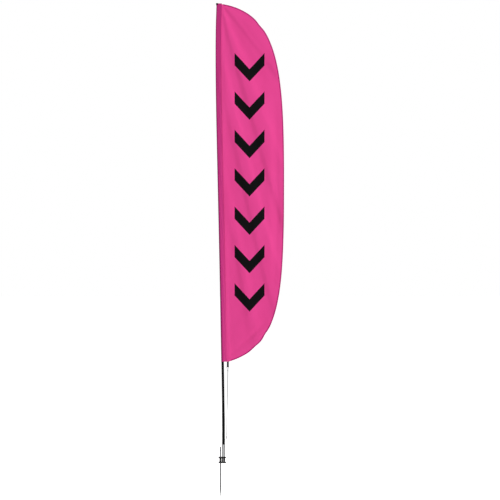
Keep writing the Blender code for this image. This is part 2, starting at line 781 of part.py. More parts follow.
def build_corner_ring(mast_axis):
    """A D-shaped ring: a straight bar on top and a half ellipse below it."""
    bow = arc((0, 0), 1, math.pi, math.tau, ARC_STEPS)
    path = [(tab_x() + RING_HALF_WIDTH * x, 0, RING_BAR_HEIGHT + RING_DEPTH * z) for x, z in bow]
    tube(
        "corner_ring",
        path,
        ring_plastic,
        RING_WIRE,
        cyclic=True,
        caps=False,
        bevel=RING_BEVEL,
        parent=mast_axis,
    )


def build_eye(mast_axis):
    """A wire eye: its shank sits in the pole's wall, and the wire turns almost back to the shank."""
    start = (FOOT_RADIUS - EYE_SEAT_DEPTH, 0, EYE_HEIGHT)
    turn = arc((EYE_X, EYE_HEIGHT), EYE_RADIUS, math.pi, math.pi - EYE_WRAP, ARC_STEPS)
    path = [start] + [(x, 0, z) for x, z in turn]
    tube("bungee_eye", path, shaft_steel, EYE_WIRE, bevel=THIN_BEVEL, parent=mast_axis)


def cord_point(distance_down):
    """A point on the straight line of the stretched cord, from the ring down to the eye."""
    share = distance_down / (CORD_TOP - CORD_BOTTOM)
    return (tab_x() + (EYE_X - tab_x()) * share, 0, CORD_TOP - distance_down)


def build_cord(mast_axis):
    spans = round((CORD_TOP - CORD_BOTTOM) / CORD_POINT_SPACING)
    path = [cord_point((CORD_TOP - CORD_BOTTOM) * i / spans) for i in range(spans + 1)]
    tube("bungee_cord", path, cord_grey, CORD_RADIUS, bevel=THIN_BEVEL, parent=mast_axis)
    lean = -math.atan((EYE_X - tab_x()) / (CORD_TOP - CORD_BOTTOM))
    crimps = {
        "upper_bungee_crimp": CRIMP_INSET + CRIMP_LENGTH / 2,
        "lower_bungee_crimp": CORD_TOP - CORD_BOTTOM - CRIMP_INSET - CRIMP_LENGTH / 2,
    }
    for name, distance_down in crimps.items():
        ring(
            name,
            CORD_RADIUS + SEAT_GAP,
            CRIMP_RADIUS,
            -CRIMP_LENGTH / 2,
            CRIMP_LENGTH / 2,
            rubber,
            steps=SMALL_STEPS,
            location=cord_point(distance_down),
            rotation=(0, lean, 0),
            parent=mast_axis,
        )


# ---------------------------------------------------------------- the whole flag

clear_scene()
flag = new_collection("feather_flag")
helpers = new_collection("helpers")

spike_steel = new_material("spike_steel", (0.42, 0.42, 0.43), 0.38, 1.0)
bracket_black = new_material("bracket_black", (0.015, 0.015, 0.016), 0.4)
hub_steel = new_material("hub_steel", (0.12, 0.12, 0.125), 0.3, 1.0)
bearing_steel = new_material("bearing_steel", (0.6, 0.6, 0.62), 0.2, 1.0)
shaft_steel = new_material("shaft_steel", (0.3, 0.3, 0.31), 0.35, 1.0)
chrome = new_material("chrome", (0.55, 0.55, 0.56), 0.12, 1.0)
rubber = new_material("rubber", (0.02, 0.02, 0.02), 0.7)
pole_black = new_material("pole_black", (0.012, 0.012, 0.013), 0.35)
pole_fibreglass = new_material("pole_fibreglass", (0.02, 0.02, 0.02), 0.45)
sail_pink = new_material("sail_pink", (0.76, 0.058, 0.27), 0.8)
webbing_black = new_material("webbing_black", (0.015, 0.015, 0.015), 0.85)
ring_plastic = new_material("ring_plastic", (0.8, 0.8, 0.8), 0.3)
cord_grey = new_material("cord_grey", (0.3, 0.3, 0.3), 0.8)

build_spike()
build_bracket()
build_hub()

rotor_axis = axis_empty("rotor_axis")
build_bearing("lower_bearing", LOWER_BEARING_BOTTOM, rotor_axis)
build_bearing("upper_bearing", UPPER_BEARING_BOTTOM, rotor_axis)
build_shaft(rotor_axis)
build_rotor(rotor_axis)

mast_axis = axis_empty("mast_axis")
build_pole(mast_axis)
build_tip_plug(mast_axis)
build_sleeve(mast_axis)
build_sail(mast_axis)
build_tip_patch(mast_axis)
build_corner_tab(mast_axis)
build_corner_ring(mast_axis)
build_eye(mast_axis)
build_cord(mast_axis)
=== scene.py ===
# %% [markdown]
# # A feather flag on a turning ground spike
# A feather flag is a tall curved sail on a bent pole. A sleeve along the sail's straight side slides over
# the pole, and an elastic cord at the lower corner keeps the cloth taut. The pole stands on a spigot that
# turns on two ball bearings, so the sail always swings down wind, and a steel spike holds it in the ground.
#
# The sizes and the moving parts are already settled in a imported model. This lesson dresses that model:
# it loads it as a fixed frame, reads the places it needs from it, and builds cloth, webbing, cord, paint
# and metal around it. Nothing is placed by eye.

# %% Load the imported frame
import json
import math

import bmesh
import bpy
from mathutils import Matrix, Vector, noise
from mathutils.bvhtree import BVHTree
from mathutils.geometry import barycentric_transform, interpolate_bezier


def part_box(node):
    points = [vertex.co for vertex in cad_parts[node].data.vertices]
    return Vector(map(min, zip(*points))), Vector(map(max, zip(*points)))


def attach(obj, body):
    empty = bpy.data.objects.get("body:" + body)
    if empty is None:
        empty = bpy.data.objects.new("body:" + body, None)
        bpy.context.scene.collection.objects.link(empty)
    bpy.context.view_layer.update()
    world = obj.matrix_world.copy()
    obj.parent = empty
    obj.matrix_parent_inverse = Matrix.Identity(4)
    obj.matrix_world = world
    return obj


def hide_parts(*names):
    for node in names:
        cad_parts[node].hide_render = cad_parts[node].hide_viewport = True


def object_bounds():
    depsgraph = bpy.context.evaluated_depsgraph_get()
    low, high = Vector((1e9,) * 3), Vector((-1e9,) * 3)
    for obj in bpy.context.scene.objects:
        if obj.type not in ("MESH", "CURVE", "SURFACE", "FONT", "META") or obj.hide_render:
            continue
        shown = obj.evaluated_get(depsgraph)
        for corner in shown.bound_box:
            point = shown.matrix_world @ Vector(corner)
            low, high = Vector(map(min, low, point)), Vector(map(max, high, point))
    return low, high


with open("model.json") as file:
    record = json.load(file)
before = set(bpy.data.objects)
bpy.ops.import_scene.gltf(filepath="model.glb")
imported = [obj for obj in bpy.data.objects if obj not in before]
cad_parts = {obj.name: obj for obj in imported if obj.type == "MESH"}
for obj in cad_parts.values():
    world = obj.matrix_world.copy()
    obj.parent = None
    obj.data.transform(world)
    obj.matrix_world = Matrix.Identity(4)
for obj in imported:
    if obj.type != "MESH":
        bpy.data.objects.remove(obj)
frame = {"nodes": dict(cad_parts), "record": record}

cad_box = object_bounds()
box_low, box_high = (Vector(corner) for corner in cad_box)
nodes = frame["nodes"]
print("frame box", [round(x, 4) for x in (*box_low, *box_high)])

# %% [markdown]
# ## Camera
# A product picture of something this tall is taken from far away with a long lens, because a near camera
# would splay the pole. The camera stands 14 m off, level with the middle of the flag, and its lens is
# worked out from the height that the picture has to hold.

# %% Place the camera
SENSOR = 36.0
CAMERA_DISTANCE = 14.0
PICTURE_MARGIN = 1.0126  # picture side over the height of the flag
CLIP_END = 200.0
PICTURE_SHIFT = 0.053  # how far right of the spindle the picture is centred, as a share of its side

picture_side = (box_high.z - box_low.z) * PICTURE_MARGIN
camera_data = bpy.data.cameras.new("camera")
camera_data.sensor_width = SENSOR
camera_data.lens = SENSOR * CAMERA_DISTANCE / picture_side
camera_data.clip_end = CLIP_END
camera = bpy.data.objects.new("camera", camera_data)
camera.location = (picture_side * PICTURE_SHIFT, -CAMERA_DISTANCE, (box_low.z + box_high.z) / 2)
camera.rotation_euler = (math.pi / 2, 0, 0)
bpy.context.scene.collection.objects.link(camera)
bpy.context.scene.camera = camera
print("lens", round(camera_data.lens, 1), "mm, picture side", round(picture_side, 3), "m")

# %% [markdown]
# ## Shared effects as node groups
# Several finishes need the same effects: a plain weave, a fine grain, and scuffs from handling. Each one
# is a node group with named inputs, built once and placed in every material that uses it with its own
# values. A group only puts out masks and heights. The shader that they feed stays in the material.

# %% Helpers for node groups
def new_group(name, inputs, outputs):
    """A shader node group. inputs are (name, default) and outputs are names; all of them are plain values."""
    group = bpy.data.node_groups.new(name, "ShaderNodeTree")
    for socket_name, default in inputs:
        socket = group.interface.new_socket(socket_name, in_out="INPUT", socket_type="NodeSocketFloat")
        socket.default_value = default
    for socket_name in outputs:
        group.interface.new_socket(socket_name, in_out="OUTPUT", socket_type="NodeSocketFloat")
    return group, group.nodes.new("NodeGroupInput"), group.nodes.new("NodeGroupOutput")


def link(tree, source, target):
    tree.links.new(source, target)


def math_node(tree, operation, first, second=None):
    """A Math node whose inputs are sockets or numbers. Returns its output."""
    node = tree.nodes.new("ShaderNodeMath")
    node.operation = operation
    for socket, value in zip(node.inputs, (first, second)):
        if value is None:
            continue
        if isinstance(value, (int, float)):
            socket.default_value = value
        else:
            link(tree, value, socket)
    return node.outputs[0]


# %% [markdown]
# ### Weave
# Polyester flag cloth is a plain weave of about 25 threads per centimetre. Two sine waves at right angles,
# one per thread direction, give the over and under of the threads. The waves read the piece's own
# coordinates, so the weave stays in the cloth when the flag turns.

# %% Weave group
def make_weave():
    tree, start, end = new_group("weave", [("Threads per metre", 2500.0)], ["Height"])
    place = tree.nodes.new("ShaderNodeTexCoord")
    split = tree.nodes.new("ShaderNodeSeparateXYZ")
    link(tree, place.outputs["Object"], split.inputs[0])
    turn = math_node(tree, "MULTIPLY", start.outputs[0], math.pi)
    across = math_node(tree, "SINE", math_node(tree, "MULTIPLY", split.outputs["X"], turn))
    along = math_node(tree, "SINE", math_node(tree, "MULTIPLY", split.outputs["Z"], turn))
    crossing = math_node(tree, "MULTIPLY", across, along)
    link(tree, math_node(tree, "ABSOLUTE", crossing), end.inputs["Height"])
    return tree


# %% [markdown]
# ### Grain and scuffs
# Paint, plastic and metal are never perfectly even. Grain is a fine noise for orange peel in a powder
# coat or the drawn lines on a tube, stretched along Z by its own scale. Scuffs are where a broad noise
# peaks, as on tubes that rub together in their bag.

# %% Grain and scuff groups
def make_grain():
    inputs = [("Scale across", 900.0), ("Scale along", 900.0), ("Detail", 2.0)]
    tree, start, end = new_group("grain", inputs, ["Height"])
    place = tree.nodes.new("ShaderNodeTexCoord")
    split = tree.nodes.new("ShaderNodeSeparateXYZ")
    join = tree.nodes.new("ShaderNodeCombineXYZ")
    pattern = tree.nodes.new("ShaderNodeTexNoise")
    link(tree, place.outputs["Object"], split.inputs[0])
    scales = {"X": start.outputs[0], "Y": start.outputs[0], "Z": start.outputs[1]}
    for axis, scale in scales.items():
        link(tree, math_node(tree, "MULTIPLY", split.outputs[axis], scale), join.inputs[axis])
    pattern.inputs["Scale"].default_value = 1.0
    link(tree, join.outputs[0], pattern.inputs["Vector"])
    link(tree, start.outputs["Detail"], pattern.inputs["Detail"])
    link(tree, pattern.outputs[0], end.inputs["Height"])
    return tree


SCUFF_CONTRAST = 6.0


def make_scuffs():
    tree, start, end = new_group("scuffs", [("Scale", 40.0), ("Amount", 0.3)], ["Mask"])
    place = tree.nodes.new("ShaderNodeTexCoord")
    pattern = tree.nodes.new("ShaderNodeTexNoise")
    pattern.inputs["Detail"].default_value = 6.0
    pattern.inputs["Roughness"].default_value = 0.7
    link(tree, place.outputs["Object"], pattern.inputs["Vector"])
    link(tree, start.outputs["Scale"], pattern.inputs["Scale"])
    threshold = math_node(tree, "SUBTRACT", 1.0, math_node(tree, "MULTIPLY", start.outputs["Amount"], 0.6))
    above = math_node(tree, "SUBTRACT", pattern.outputs[0], math_node(tree, "MULTIPLY", threshold, 0.7))
    mask = math_node(tree, "MULTIPLY", above, SCUFF_CONTRAST)
    mask.node.use_clamp = True
    link(tree, mask, end.inputs["Mask"])
    return tree


weave_group = make_weave()
grain_group = make_grain()
scuff_group = make_scuffs()
print("node groups:", [g.name for g in bpy.data.node_groups])

# %% [markdown]
# ## Materials
# Each material is a Principled shader. Its colour runs between two close tones by one of the groups, its
# roughness changes a little over the surface, and its bump comes from weave or grain. Values that are the
# same everywhere, such as sheen or metallic, are set on the shader itself.

# %% Material builder
def colour_between(tree, mask, low, high):
    """A colour that runs from low to high with the mask."""
    mix = tree.nodes.new("ShaderNodeMix")
    mix.data_type = "RGBA"
    link(tree, mask, mix.inputs["Factor"])
    mix.inputs[6].default_value = (*low, 1)
    mix.inputs[7].default_value = (*high, 1)
    return mix.outputs[2]


def place_group(tree, group, **values):
    node = tree.nodes.new("ShaderNodeGroup")
    node.node_tree = group
    for name, value in values.items():
        node.inputs[name.replace("_", " ")].default_value = value
    return node


def finish_bump(tree, shader, height, strength, distance):
    bump = tree.nodes.new("ShaderNodeBump")
    bump.inputs["Strength"].default_value = strength
    bump.inputs["Distance"].default_value = distance
    link(tree, height, bump.inputs["Height"])
    link(tree, bump.outputs[0], shader.inputs["Normal"])


def new_material(name, **constants):
    material = bpy.data.materials.new(name)
    material.use_nodes = True
    shader = material.node_tree.nodes["Principled BSDF"]
    for socket, value in constants.items():
        shader.inputs[socket.replace("_", " ")].default_value = value
    return material, material.node_tree, shader


def roughness_between(tree, shader, mask, low, high):
    spread = tree.nodes.new("ShaderNodeMapRange")
    link(tree, mask, spread.inputs["Value"])
    spread.inputs["To Min"].default_value = low
    spread.inputs["To Max"].default_value = high
    link(tree, spread.outputs[0], shader.inputs["Roughness"])


# %% [markdown]
# ### Cloth
# The sail is dyed woven polyester: a saturated pink with a soft sheen. The hem is the same cloth folded
# over and sewn; its deeper pink is painted shade, for the light that the folded layers hold back. The black
# figures are printed with ink that soaks in, so they keep the weave.

# %% Cloth materials
PINK = (0.815, 0.066, 0.305)
DEEP_PINK = (0.750, 0.050, 0.256)
HEM_SHADED_PINK = (0.500, 0.018, 0.185)
HEM_SHADED_DEEP_PINK = (0.420, 0.014, 0.155)
INK = (0.0036, 0.0034, 0.0038)
INK_WORN = (0.0078, 0.0074, 0.0082)
CLOTH_ROUGHNESS = (0.72, 0.88)
FINE_BUMP = 0.0002  # depth in metres of weave, grain and orange peel


def cloth_material(name, light, dark, threads=2500.0, sheen=0.12, bump=0.25, gloss=0.12, creases=0.0):
    """Dyed cloth: a cloudy tone from uneven dye, and painted shade that darkens the gaps of the weave.

    creases is how much deeper than the weave its long shallow crumples are."""
    material, tree, shader = new_material(name, Sheen_Weight=sheen, Sheen_Roughness=0.5)
    shader.inputs["Specular IOR Level"].default_value = gloss
    weave = place_group(tree, weave_group, Threads_per_metre=threads)
    cloud = place_group(tree, grain_group, Scale_across=5.0, Scale_along=3.0, Detail=3.0)
    # Painted shade: the low places of the weave, between the threads, take the darker tone.
    tone = math_node(tree, "MULTIPLY", weave.outputs["Height"], 0.35)
    tone = math_node(tree, "ADD", tone, math_node(tree, "MULTIPLY", cloud.outputs["Height"], 0.9))
    tone.node.use_clamp = True
    link(tree, colour_between(tree, tone, dark, light), shader.inputs["Base Color"])
    roughness_between(tree, shader, weave.outputs["Height"], *CLOTH_ROUGHNESS)
    crumple = place_group(tree, grain_group, Scale_across=22.0, Scale_along=5.0, Detail=2.0)
    height = math_node(tree, "MULTIPLY", crumple.outputs["Height"], creases)
    height = math_node(tree, "ADD", height, weave.outputs["Height"])
    finish_bump(tree, shader, height, bump, FINE_BUMP)
    return material


sail_cloth = cloth_material("sail_cloth", PINK, DEEP_PINK, creases=14.0)
sleeve_cloth = cloth_material("sleeve_cloth", PINK, DEEP_PINK, creases=6.0)
# Painted shade: the hem's pink is deeper than the sail's, for the light that its folded layers hold back.
shaded_hem_cloth = cloth_material("shaded_hem_cloth", HEM_SHADED_PINK, HEM_SHADED_DEEP_PINK, sheen=0.03, gloss=0.05)
ink_cloth = cloth_material("ink_on_cloth", INK_WORN, INK, sheen=0.0, bump=0.2, gloss=0.03)
thread_pink = cloth_material("pink_thread", (0.62, 0.03, 0.19), (0.5, 0.02, 0.14), threads=6000.0)
thread_grey = cloth_material("grey_thread", (0.10, 0.10, 0.10), (0.06, 0.06, 0.06), threads=6000.0)
webbing = cloth_material(
    "black_webbing", (0.009, 0.009, 0.0095), (0.003, 0.003, 0.003), threads=900.0, sheen=0.0, gloss=0.04
)
print("cloth materials ready")

# %% [markdown]
# Where the sleeve wraps round the outer side of the pole, its colour is mixed towards a darker pink: this is
# painted shade for the round side that turns away from the light. The mask is the surface's own direction: it
# starts where the cloth still faces partly towards the sail, and is full where it faces -X, away from it.

# %% Painted shade on the sleeve's outer side
# Painted shade: the darker pink, and where on the sleeve's round side it starts and where it is full.
SHADOWED_PINK = (0.34, 0.010, 0.135)
SHADOW_STARTS, SHADOW_FULL = 0.7, -0.15  # x of the cloth's direction


def paint_shade_on_outer_side(material, colour):
    tree = material.node_tree
    shader = tree.nodes["Principled BSDF"]
    place = tree.nodes.new("ShaderNodeTexCoord")
    split = tree.nodes.new("ShaderNodeSeparateXYZ")
    spread = tree.nodes.new("ShaderNodeMapRange")
    link(tree, place.outputs["Normal"], split.inputs[0])
    link(tree, split.outputs["X"], spread.inputs["Value"])
    spread.inputs["From Min"].default_value = SHADOW_STARTS
    spread.inputs["From Max"].default_value = SHADOW_FULL
    mix = tree.nodes.new("ShaderNodeMix")
    mix.data_type = "RGBA"
    link(tree, spread.outputs[0], mix.inputs["Factor"])
    link(tree, shader.inputs["Base Color"].links[0].from_socket, mix.inputs[6])
    mix.inputs[7].default_value = (*colour, 1)
    link(tree, mix.outputs[2], shader.inputs["Base Color"])


paint_shade_on_outer_side(sleeve_cloth, SHADOWED_PINK)
print("sleeve darkened over the pole")

# %% [markdown]
# ### Elastic braid
# The bungee's cover is a diagonal braid. A wave texture in bands, set at an angle to the cord, gives the
# crossing strands, and the bump rounds each one. Painted shade darkens the grooves between the strands.

# %% Braid material
BRAID_ANGLE = math.radians(38)
BRAID_SCALE = 160.0
BRAID_DEPTH = 0.0004


def braid_material():
    material, tree, shader = new_material("elastic_braid", Sheen_Weight=0.2)
    place = tree.nodes.new("ShaderNodeTexCoord")
    heights = []
    for angle in (BRAID_ANGLE, -BRAID_ANGLE):
        turned = tree.nodes.new("ShaderNodeMapping")
        turned.inputs["Rotation"].default_value = (0, angle, 0)
        strands = tree.nodes.new("ShaderNodeTexWave")
        strands.bands_direction = "Z"
        strands.inputs["Scale"].default_value = BRAID_SCALE
        link(tree, place.outputs["Object"], turned.inputs["Vector"])
        link(tree, turned.outputs[0], strands.inputs["Vector"])
        heights.append(strands.outputs[1])
    height = math_node(tree, "MAXIMUM", *heights)
    # Painted shade: the low places of the braid, between the strands, take the darker grey.
    colour = colour_between(tree, height, (0.012, 0.012, 0.013), (0.075, 0.075, 0.078))
    link(tree, colour, shader.inputs["Base Color"])
    roughness_between(tree, shader, height, 0.65, 0.9)
    finish_bump(tree, shader, height, 0.6, BRAID_DEPTH)
    return material


elastic_braid = braid_material()
print("braid ready")

# %% [markdown]
# ### Coated, drawn and plated metal
# The lower pole is black anodised tube, drawn through a die, so its grain runs along it. The bracket is
# powder coated, with a fine orange peel and chips that show paler. The spike is zinc plated rod, and the
# rotor spindle is turned and chromed.

# %% Hard materials
def hard_material(name, light, dark, metallic, roughness, grain, bump, scuffs=0.3, **constants):
    """A hard finish, from its light and dark tone, how metallic it is, and its range of roughness.

    grain is (scale across, scale along), and scuffs lighten and roughen where it rubs."""
    material, tree, shader = new_material(name, Metallic=metallic, **constants)
    fine = place_group(tree, grain_group, Scale_across=grain[0], Scale_along=grain[1], Detail=3.0)
    rubbed = place_group(tree, scuff_group, Scale=45.0, Amount=scuffs)
    tone = math_node(tree, "MULTIPLY", fine.outputs["Height"], 0.6)
    tone = math_node(tree, "ADD", tone, math_node(tree, "MULTIPLY", rubbed.outputs["Mask"], 0.7))
    tone.node.use_clamp = True
    link(tree, colour_between(tree, tone, dark, light), shader.inputs["Base Color"])
    roughness_between(tree, shader, tone, *roughness)
    finish_bump(tree, shader, fine.outputs["Height"], bump, FINE_BUMP)
    return material


finishes = {
    "pole_black": hard_material(
        "black_anodised_tube", (0.003, 0.003, 0.0033), (0.001, 0.001, 0.001), 0.0, (0.42, 0.56), (2400, 30),
        bump=0.12, Specular_IOR_Level=0.09,
    ),
    "pole_fibreglass": hard_material(
        "black_fibreglass", (0.03, 0.03, 0.03), (0.012, 0.012, 0.012), 0.0, (0.3, 0.5), (1500, 90), 0.2
    ),
    "bracket_black": hard_material(
        "black_powder_coat", (0.010, 0.010, 0.0105), (0.003, 0.003, 0.003), 0.0, (0.32, 0.5), (1800, 1800),
        bump=0.35, Specular_IOR_Level=0.35,
    ),
    "hub_steel": hard_material(
        "dark_plated_steel", (0.28, 0.28, 0.285), (0.11, 0.11, 0.113), 1.0, (0.2, 0.38), (150, 2600), 0.12
    ),
    "spike_steel": hard_material(
        "zinc_plated_rod", (0.15, 0.15, 0.156), (0.06, 0.06, 0.063), 1.0, (0.28, 0.5), (1500, 60), 0.2, 0.5
    ),
    "shaft_steel": hard_material(
        "ground_steel", (0.42, 0.42, 0.43), (0.28, 0.28, 0.29), 1.0, (0.2, 0.4), (200, 3000), 0.12
    ),
    "bearing_steel": hard_material(
        "bearing_steel", (0.66, 0.66, 0.68), (0.5, 0.5, 0.52), 1.0, (0.12, 0.25), (200, 3000), 0.08
    ),
    "chrome": hard_material(
        "chromed_spindle", (0.60, 0.60, 0.61), (0.46, 0.46, 0.47), 1.0, (0.08, 0.2), (120, 2800), 0.06, 0.15
    ),
    "rubber": hard_material(
        "black_rubber", (0.028, 0.028, 0.028), (0.015, 0.015, 0.015), 0.0, (0.6, 0.8), (1200, 1200), 0.3
    ),
    "ring_plastic": hard_material(
        "white_moulded_nylon", (0.84, 0.84, 0.83), (0.74, 0.74, 0.73), 0.0, (0.28, 0.42), (700, 700), 0.1, 0.1
    ),
    "sail_pink": sail_cloth,
    "webbing_black": webbing,
    "cord_grey": elastic_braid,
}
black_steel = hard_material(
    "blackened_steel", (0.03, 0.03, 0.03), (0.01, 0.01, 0.01), 0.6, (0.35, 0.5), (900, 900), 0.15
)
for part in frame["record"]["subparts"]:
    mesh = nodes[part["node"]].data
    mesh.materials.clear()
    mesh.materials.append(finishes[part["material_slot"]])
print("finishes:", len(finishes))

# %% [markdown]
# ## Reading the frame
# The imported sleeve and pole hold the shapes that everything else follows. Their corners lie in rings, one
# above the other, so each ring gives the pole's centre and width at its height. A smooth curve through
# those values answers for any height in between.

# %% Measure the sleeve and the pole
RING_APART = 0.004
ROUND_WITHIN = 0.0006


def rings_of(node):
    """The node's rings from low to high, as (height, lowest x, highest x, highest y)."""
    corners = sorted((corner.co.copy() for corner in nodes[node].data.vertices), key=lambda co: co.z)
    rings = [[corners[0]]]
    for corner in corners[1:]:
        if corner.z - rings[-1][-1].z > RING_APART:
            rings.append([])
        rings[-1].append(corner)
    measured = []
    for ring in rings:
        height = sum(co.z for co in ring) / len(ring)
        xs = [co.x for co in ring]
        measured.append((height, min(xs), max(xs), max(co.y for co in ring)))
    return measured


def smooth_row(rows, height):
    """A row of the table at any height, on a smooth curve through the rows."""
    last = len(rows) - 1
    upper = next((i for i, row in enumerate(rows) if row[0] >= height), last)
    upper = max(1, upper)
    four = [rows[min(last, max(0, upper + step))] for step in (-2, -1, 0, 1)]
    share = (height - four[1][0]) / (four[2][0] - four[1][0])
    share = min(1.0, max(0.0, share))
    values = []
    for before, a, b, after in zip(*four):
        bend = (2 * before - 5 * a + 4 * b - after) * share**2
        bend += (3 * a - before - 3 * b + after) * share**3
        values.append(0.5 * (2 * a + (b - before) * share + bend))
    return values


sleeve_rings = rings_of("pole_sleeve")
sleeve_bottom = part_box("pole_sleeve")[0].z
sleeve_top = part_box("pole_sleeve")[1].z
pole_rings = [
    (height, (low + high) / 2, half)
    for height, low, high, half in rings_of("pole_section_1")
    if abs(high - low - 2 * half) < ROUND_WITHIN
]
# The rings that the notch cuts are left out, and the pole is straight there.
pole_rings.insert(0, (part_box("pole_section_1")[0].z, *pole_rings[0][1:]))
print(len(sleeve_rings), "rings in the sleeve,", len(pole_rings), "in the lower pole")


def seam_at(height):
    """x of the sleeve's closed edge, where the sail is sewn on."""
    return smooth_row(sleeve_rings, height)[2]


# %% [markdown]
# ## Building helpers
# Turned parts are lathed from a profile, tubes and straps are swept along a path, and each new piece is
# told three things: the body it rides on, its finish, and the imported solids that it stands for.

# %% Helpers that make pieces
SHARP = math.radians(38)
GAP = 0.0003  # clearance between neighbours


def shade_round(mesh):
    mesh.shade_smooth()
    mesh.set_sharp_from_angle(angle=SHARP)


def add_piece(name, mesh, material, body, replaces=(), smooth=True):
    if smooth:
        shade_round(mesh)
    piece = bpy.data.objects.new(name, mesh)
    if not mesh.materials:
        mesh.materials.append(material)
    bpy.context.scene.collection.objects.link(piece)
    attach(piece, body)
    if replaces:
        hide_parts(*replaces)
    return piece


def mesh_from(name, corners, faces):
    mesh = bpy.data.meshes.new(name)
    mesh.from_pydata(corners, [], faces)
    shape = bmesh.new()
    shape.from_mesh(mesh)
    bmesh.ops.recalc_face_normals(shape, faces=shape.faces)
    shape.to_mesh(mesh)
    shape.free()
    return mesh


def ring_faces(rings, count, joined=False):
    """Faces between rings of count corners each. A joined row of rings closes on itself."""
    faces = []
    for i in range(rings if joined else rings - 1):
        low, high = i * count, (i + 1) % rings * count
        for j in range(count):
            k = (j + 1) % count
            faces.append((low + j, low + k, high + k, high + j))
    return faces


def grid_faces(rows, columns):
    """Four-sided faces of a sheet of rows and columns."""
    faces = []
    for i in range(rows):
        for j in range(columns):
            a = i * (columns + 1) + j
            faces.append((a, a + 1, a + columns + 2, a + columns + 1))
    return faces


def prism_faces(count):
    """Faces of a shape with two ends of count corners each, joined by its sides."""
    sides = [(i, (i + 1) % count, count + (i + 1) % count, count + i) for i in range(count)]
    return [tuple(range(count)), tuple(range(count, 2 * count)), *sides]


def lathe_data(profile, steps=64, centre=(0, 0), closed=True):
    """Corners and faces of a profile of (radius, height) points turned about a vertical axis.

    A closed profile makes a ring. An open one starts and ends on the axis."""
    corners, rows, faces = [], [], []
    for radius, height in profile:
        if radius < 1e-7:
            rows.append([len(corners)] * steps)
            corners.append((centre[0], centre[1], height))
            continue
        rows.append(list(range(len(corners), len(corners) + steps)))
        for i in range(steps):
            angle = math.tau * i / steps
            x = centre[0] + radius * math.cos(angle)
            corners.append((x, centre[1] + radius * math.sin(angle), height))
    pairs = list(zip(rows, rows[1:])) + ([(rows[-1], rows[0])] if closed else [])
    for upper, lower in pairs:
        for i in range(steps):
            j = (i + 1) % steps
            face = dict.fromkeys((upper[i], lower[i], lower[j], upper[j]))
            if len(face) > 2:
                faces.append(tuple(face))
    return corners, faces


def sweep_data(path, section, closed_path=False):
    """Corners and faces of a section swept along a path.

    section(i) gives the outline's points at path point i as (side, up) offsets."""
    path = [Vector(point) for point in path]
    last = len(path) - 1
    corners = []
    side = None
    for i, point in enumerate(path):
        before = path[i - 1] if i or closed_path else point
        after = path[(i + 1) % len(path)] if i < last or closed_path else point
        along = (after - before).normalized()
        if side is None:
            side = along.cross(Vector((0, 1, 0)) if abs(along.y) < 0.9 else Vector((1, 0, 0)))
        side = (side - along * side.dot(along)).normalized()
        up = side.cross(along)
        corners += [tuple(point + side * a + up * b) for a, b in section(i)]
    count = len(section(0))
    faces = ring_faces(len(path), count, closed_path)
    if not closed_path:
        faces.append(tuple(range(count)))
        faces.append(tuple(range(last * count, (last + 1) * count)))
    return corners, faces


def round_section(radius, steps=20):
    """The same circle at every point of a path."""
    angles = [math.tau * i / steps for i in range(steps)]
    circle = [(radius * math.cos(angle), radius * math.sin(angle)) for angle in angles]
    return lambda i: circle


def arc_points(centre, radius, start, end, steps):
    angles = [start + (end - start) * i / steps for i in range(steps + 1)]
    return [(centre[0] + radius * math.cos(a), centre[1] + radius * math.sin(a)) for a in angles]


def thicken(piece, thickness):
    """Gives a sheet its thickness, half on each side."""
    modifier = piece.modifiers.new("cloth thickness", "SOLIDIFY")
    modifier.thickness = thickness
    modifier.offset = 0


# %% [markdown]
# ## The elastic cord
# The cord is cut to length, looped through the ring at the sail's corner and over the eye on the pole,
# and each loop is closed with a crimp. It is pulled tight, so its route is a straight line. The cord
# itself is one swept tube between the crimps, and the two small loops are pieces on it.

# %% Bungee cord between its crimps
CORD_RADIUS = 0.002
CORD_POINTS = 28
LOOP_CORD_RADIUS = 0.0015  # drawn thin round the loops
CORD_IN_CRIMP = 0.9  # the cord stops this share of the crimp's half length from its middle
LEGS_APART = 0.0006
CRIMP_STEPS = 24
CRIMP_WAIST = 0.14  # how far the tool pressed it in, as a share of its radius

ring_low, ring_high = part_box("corner_ring")
eye_low, eye_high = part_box("bungee_eye")
upper_crimp_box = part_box("upper_bungee_crimp")
lower_crimp_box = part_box("lower_bungee_crimp")
ring_wire = (ring_high.y - ring_low.y) / 2
eye_wire = (eye_high.y - eye_low.y) / 2


def middle_of(box):
    return (box[0] + box[1]) / 2


upper_crimp = middle_of(upper_crimp_box)
lower_crimp = middle_of(lower_crimp_box)
cord_line = (lower_crimp - upper_crimp).normalized()
crimp_half = (upper_crimp_box[1].z - upper_crimp_box[0].z) / 2
cord_start = upper_crimp - cord_line * crimp_half * CORD_IN_CRIMP
cord_end = lower_crimp + cord_line * crimp_half * CORD_IN_CRIMP
cord_path = [cord_start.lerp(cord_end, i / (CORD_POINTS - 1)) for i in range(CORD_POINTS)]
cord_mesh = mesh_from("elastic_cord", *sweep_data(cord_path, round_section(CORD_RADIUS, 16)))
cord = add_piece("elastic_cord", cord_mesh, elastic_braid, "mast", ["bungee_cord"])


